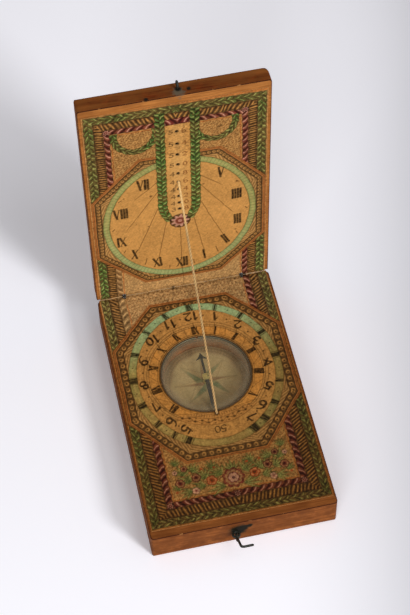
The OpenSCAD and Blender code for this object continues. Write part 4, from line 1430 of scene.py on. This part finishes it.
class SUNDIAL_OT_woods(SundialOperator):
    """Finishes both leaves as handled, varnished pearwood"""

    bl_idname = "sundial.woods"
    bl_label = "Woods"

    def execute(self, context):
        settings = context.scene.sundial_wood
        tints = {"bloom": rgba(context.scene.sundial_fittings.verdigris), "soot": SOOT_AND_SHADE, "powder": POWDER}
        hook, catch = middle_of("hook_eye"), middle_of("catch_eye")
        base_end, lid_end = corners("base_leaf")[0][1], corners("lid_leaf")[1][2]
        base_stains = [((hook[0] + along, base_end, hook[2] + up), reach, ragged, tints[tint])
                       for along, up, reach, ragged, tint in HOOK_STAINS]
        lid_stains = [((catch[0] + along, catch[1] + back, lid_end), reach, ragged, tints[tint])
                      for along, back, reach, ragged, tint in CATCH_STAINS]
        lid_stains.append(((-8.7, LID_HIGH[1] + 0.6, lid_end), 0.0009, 0.0004, SOOT_AND_SHADE))
        # The lid's bores get the darkest colour, as painted shade inside the latitude holes
        for leaf, tone, side_tone, flat_axis, stains, bores in (
                ("base", settings.base, settings.base_side, 2, base_stains, None),
                ("lid", settings.lid, settings.lid_side, 1, lid_stains, SOOT_AND_SHADE)):
            made = pearwood(f"varnished pearwood, {leaf}", rgba(tone), rgba(side_tone), rgba(settings.edge),
                            rgba(settings.chip), settings.grain, flat_axis, stains, bores)
            dress(frame["nodes"][f"{leaf}_leaf"], made)
        return {"FINISHED"}


def inks_of(settings):
    """All colours of the print settings, by name."""
    return {key: np.array(getattr(settings, key)) for key, item in settings.bl_rna.properties.items()
            if getattr(item, "subtype", "") == "COLOR"}


def lay_print(name, parts, step, colours, origin, v_axis, body, made, circles, boxes=()):
    """Lays a print as flat coloured grids, one for each part's ranges of u and v, on the body that carries
    it. u runs along X from the origin, and v along its own axis."""
    for part, u_range, v_range in parts:
        places, cells = flat_grid(u_range, v_range, step, circles, boxes)
        u, v = places.T
        points = np.array(origin) + np.outer(u, (1, 0, 0)) + np.outer(v, v_axis)
        piece = new_piece(f"{name}_{part}", points, cells.tolist())
        paint_points(piece, colours(u, v))
        map_flat(piece, u, v)
        dress(piece, made)
        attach(piece, body)


def print_leaf(settings, leaf, v_range, notch_range, circles, origin, v_axis, colours):
    """Finishes a leaf's paper and lays its print on it in two halves, with gaps at the hinges' notches."""
    paper, inks = f"{leaf}_paper", inks_of(settings)
    dress(frame["nodes"][paper], paper_edge(f"paper edge, {leaf}", rgba(settings.paper)))
    side = corners(paper)[1][0]
    halves = [("left", (-side, 0.0), v_range), ("right", (0.0, side), v_range)]
    notch = (EYE_HIGH[0] - EYE_LOW[0]) / 2 + NOTCH_PLAY
    boxes = [(x - notch, x + notch, *notch_range) for x in (-HINGE_X, HINGE_X)]
    made = printed_paper(f"coloured engraving, {leaf}")
    lay_print(f"{leaf}_print", halves, settings.step / MM,
              lambda u, v: colours(u, v, inks, settings.latitude), origin, v_axis,
              leaf, made, circles, boxes)


class SUNDIAL_OT_base_print(SundialOperator):
    """Lays the hand-coloured print on the base leaf"""

    bl_idname = "sundial.base_print"
    bl_label = "Base print"

    def execute(self, context):
        print_leaf(context.scene.sundial_print, "base",
                   (BASE_LOW[1] - FRONT, BASE_HIGH[1] - FRONT + FRINGE),
                   (EYE_LOW[1] - FRONT - NOTCH_PLAY, np.inf),
                   [(0.0, COMPASS[1] - FRONT, REBATE_R), (0.0, STRING_FOOT[1] - FRONT, HOLE_R)],
                   (0.0, FRONT, BASE_HIGH[2] + PRINT_LIFT), (0, 1, 0), base_print)
        return {"FINISHED"}


class SUNDIAL_OT_lid_print(SundialOperator):
    """Lays the hand-coloured print on the lid leaf"""

    bl_idname = "sundial.lid_print"
    bl_label = "Lid print"

    def execute(self, context):
        print_leaf(context.scene.sundial_print, "lid",
                   (LID_LOW[2] - FOLD - FRINGE, LID_HIGH[2] - FOLD),
                   (-np.inf, EYE_HIGH[2] - FOLD + NOTCH_PLAY),
                   [(0.0, height, HOLE_R) for height in HOLES_V],
                   (0.0, LID_LOW[1] - PRINT_LIFT, FOLD), (0, 0, 1), lid_print)
        return {"FINISHED"}


class SUNDIAL_OT_compass(SundialOperator):
    """Dresses the compass: printed card, pivot, needle, cap, glass and its ring"""

    bl_idname = "sundial.compass"
    bl_label = "Compass"

    def execute(self, context):
        settings, prints = context.scene.sundial_fittings, context.scene.sundial_print
        nodes, inks = frame["nodes"], inks_of(prints)
        dress(nodes["compass_card"], paper_edge("card edge", rgba(prints.card_brown)))
        card_high = corners("compass_card")[1]
        reach = card_high[0] - CARD_MARGIN
        lay_print("compass_card", [("print", (-reach, reach), (-reach, reach))], prints.step / MM,
                  lambda u, v: card_print(u, v, inks), (0.0, COMPASS[1], card_high[2] + PRINT_LIFT),
                  (0, 1, 0), "base", printed_paper("compass card print"),
                  [(0, 0, -reach), (0, 0, PIN_HOLE_R)])
        brass = aged_metal("old brass", rgba(settings.brass), BROWN_SKIN, 0.25, 0.4, 0.0008)
        for name in ("compass_pivot", "needle_cap"):
            dress(nodes[name], brass)
        dress(nodes["compass_needle"],
              aged_metal("blued steel", rgba(settings.steel), (0.02, 0.025, 0.035, 1), 0.4, 0.42, 0.001))
        # Painted light and shade on the glass ring: its far half bare and bright, its near half under the
        # dark skin
        dress(nodes["glass_ring"],
              aged_metal("ring wire, painted light and shade", rgba(settings.ring), BROWN_SKIN, 1.2, 0.5, 0.001,
                         ((0.0, COMPASS[1] + 15, COMPASS[2]), 0.021, 0.004)))
        low, high = corners("compass_glass")
        rim = (high[0] - low[0]) / 2 - GLASS_BEVEL
        profile = [(0, low[2]), *arc(rim, low[2] + GLASS_BEVEL, GLASS_BEVEL, GLASS_BEVEL, -90, 0, 4),
                   *arc(rim, high[2] - GLASS_BEVEL, GLASS_BEVEL, GLASS_BEVEL, 0, 90, 4), (0, high[2])]
        points, faces = turned_profile(profile, 128)
        glass = new_piece("compass_glass_disc", points + [0, COMPASS[1], 0], faces)
        dress(glass, dusty_glass("dusty crown glass", rgba(settings.dust), settings.haze))
        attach(glass, "base")
        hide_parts("compass_glass")
        return {"FINISHED"}


def string_route(count=640):
    """Points along the string's middle, in millimetres: a quarter-round bend out of the foot hole, the
    straight span at the angle of the latitude, and a bend into the lid's hole. Also its length."""
    lat = np.radians(STRING_LATITUDE)
    foot = np.array([STRING_FOOT[1] + STRING_BEND, BASE_HIGH[2] + HAIR])
    lid = np.array([LID_LOW[1] - HAIR, STRING_HOLE[2] - STRING_BEND])
    bends = [centre + STRING_BEND * np.array([-np.sin(a), np.cos(a)])
             for centre, start, end in ((foot, np.pi / 2, lat), (lid, lat, 0))
             for a in np.linspace(start, end, 8)]
    y, z = np.array(bends).T
    travelled = np.concatenate([[0], np.cumsum(np.hypot(np.diff(y), np.diff(z)))])
    even = np.linspace(0, travelled[-1], count)
    route = np.column_stack([np.zeros(count), np.interp(even, travelled, y), np.interp(even, travelled, z)])
    return route, travelled[-1]


def knot_route():
    """Points along an overhand knot under the origin: a three-lobed loop x = sin t + 2 sin 2t,
    y = cos t - 2 cos 2t, z = -sin 3t, scaled, of a little less than one turn."""
    t = np.linspace(0.35, 0.35 + 0.92 * 2 * np.pi, 120)
    x = KNOT_SCALE * (np.sin(t) + 2 * np.sin(2 * t))
    y = KNOT_SCALE * (np.cos(t) - 2 * np.cos(2 * t))
    return np.column_stack([x, y, -KNOT_DROP * (0.5 + 0.32 * np.sin(3 * t))])


def string_piece(name, node, body, lengths, twist, thread):
    """Piece of twisted string that rides on a body in place of a packed node. Each of its lengths is a path,
    a radius, the number of sides, the groove's depth and a direction that the path never takes."""
    points, faces, grooves = np.empty((0, 3)), [], []
    for path, radius, sides, groove, reference in lengths:
        more, more_faces, depths = swept(path, radius, sides, reference, twist, groove)
        faces += [[k + len(points) for k in face] for face in more_faces]
        points = np.vstack([points, more])
        grooves.append(depths)
    piece = new_piece(name, points, faces, True)
    layer = piece.data.attributes.new(GROOVE_LAYER, "FLOAT", "POINT")
    layer.data.foreach_set("value", np.concatenate(grooves).astype(np.float32))
    dress(piece, thread)
    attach(piece, body)
    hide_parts(node)
    return piece


class SUNDIAL_OT_string(SundialOperator):
    """Makes the gnomon: a twisted linen string through both leaves, knotted at each end"""

    bl_idname = "sundial.string"
    bl_label = "String"

    def execute(self, context):
        settings = context.scene.sundial_fittings
        thread = linen_thread("linen thread", rgba(settings.thread), rgba(settings.thread_shade))
        twist = 2 * np.pi / (settings.lay / MM)
        knot, foot_y, hole_z = knot_route(), STRING_FOOT[1], STRING_HOLE[2]
        seat, back = corners("string_foot")[0][2] + KNOT_HEIGHT, corners("lid_leaf")[1][1]
        foot_stem = np.linspace((0, foot_y, BASE_HIGH[2]), (0, foot_y, seat - KNOT_BITE), 60)
        end_stem = np.linspace((0, LID_LOW[1], hole_z), (0, back + KNOT_BITE, hole_z), 50)
        foot_loop = knot + (0, foot_y, seat)
        end_loop = np.column_stack([knot[:, 0], back - knot[:, 2], knot[:, 1] + hole_z])
        knots = [string_piece(name, node, body, [(stem, STRING_R * 0.98, 16, 0.22, (1.0, 0.0, 0.0)),
                                                 (loop, STRING_R * 0.92, 14, 0.22, (0.31, 0.53, 0.79))],
                              twist, thread)
                 for name, node, body, stem, loop in (
                     ("string_foot_knot", "string_foot", "base", foot_stem, foot_loop),
                     ("string_end_knot", "string_knot", "lid", end_stem, end_loop))]
        route, size = string_route()
        string = string_piece("gnomon_thread", "gnomon_string", "base",
                              [(route, STRING_R, 18, 0.24, (1.0, 0.0, 0.0))], twist, thread)
        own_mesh(string)
        return {"FINISHED"}


class SUNDIAL_OT_wires(SundialOperator):
    """Finishes the hook, its eye, the catch eye and the four hinge eyes"""

    bl_idname = "sundial.wires"
    bl_label = "Wires"

    def execute(self, context):
        settings = context.scene.sundial_fittings
        wire = aged_metal("dark brass wire", rgba(settings.wire), rgba(settings.verdigris), 0.9, 0.5, 0.0008)
        for name in ("hook", "hook_eye", "catch_eye", "hinge_eye_base_left", "hinge_eye_base_right",
                     "hinge_eye_lid_left", "hinge_eye_lid_right"):
            dress(frame["nodes"][name], wire)
        return {"FINISHED"}


OPERATORS = [SUNDIAL_OT_stage, SUNDIAL_OT_string, SUNDIAL_OT_woods, SUNDIAL_OT_base_print,
             SUNDIAL_OT_lid_print, SUNDIAL_OT_compass, SUNDIAL_OT_wires]


class SUNDIAL_PT_panel(bpy.types.Panel):
    """Lists the sundial's operators and settings"""

    bl_label = "Diptych Sundial"
    bl_idname = "SUNDIAL_PT_panel"
    bl_space_type = "VIEW_3D"
    bl_region_type = "UI"
    bl_category = "Sundial"

    def draw(self, context):
        for operator in OPERATORS:
            self.layout.operator(operator.bl_idname)
        for name, group in SETTINGS.items():
            box = self.layout.box()
            box.label(text=group.__doc__)
            for key in group.__annotations__:
                box.prop(getattr(context.scene, name), key)


CLASSES = [*SETTINGS.values(), *OPERATORS, SUNDIAL_PT_panel]


def register():
    for cls in CLASSES:
        bpy.utils.register_class(cls)
    for name, group in SETTINGS.items():
        setattr(bpy.types.Scene, name, bpy.props.PointerProperty(type=group))


def unregister():
    for name in SETTINGS:
        delattr(bpy.types.Scene, name)
    for cls in reversed(CLASSES):
        bpy.utils.unregister_class(cls)


def main():
    """Makes the whole sundial."""
    register()
    for operator in OPERATORS:
        family, name = operator.bl_idname.split(".")
        getattr(getattr(bpy.ops, family), name)()


if __name__ == "__main__":
    main()
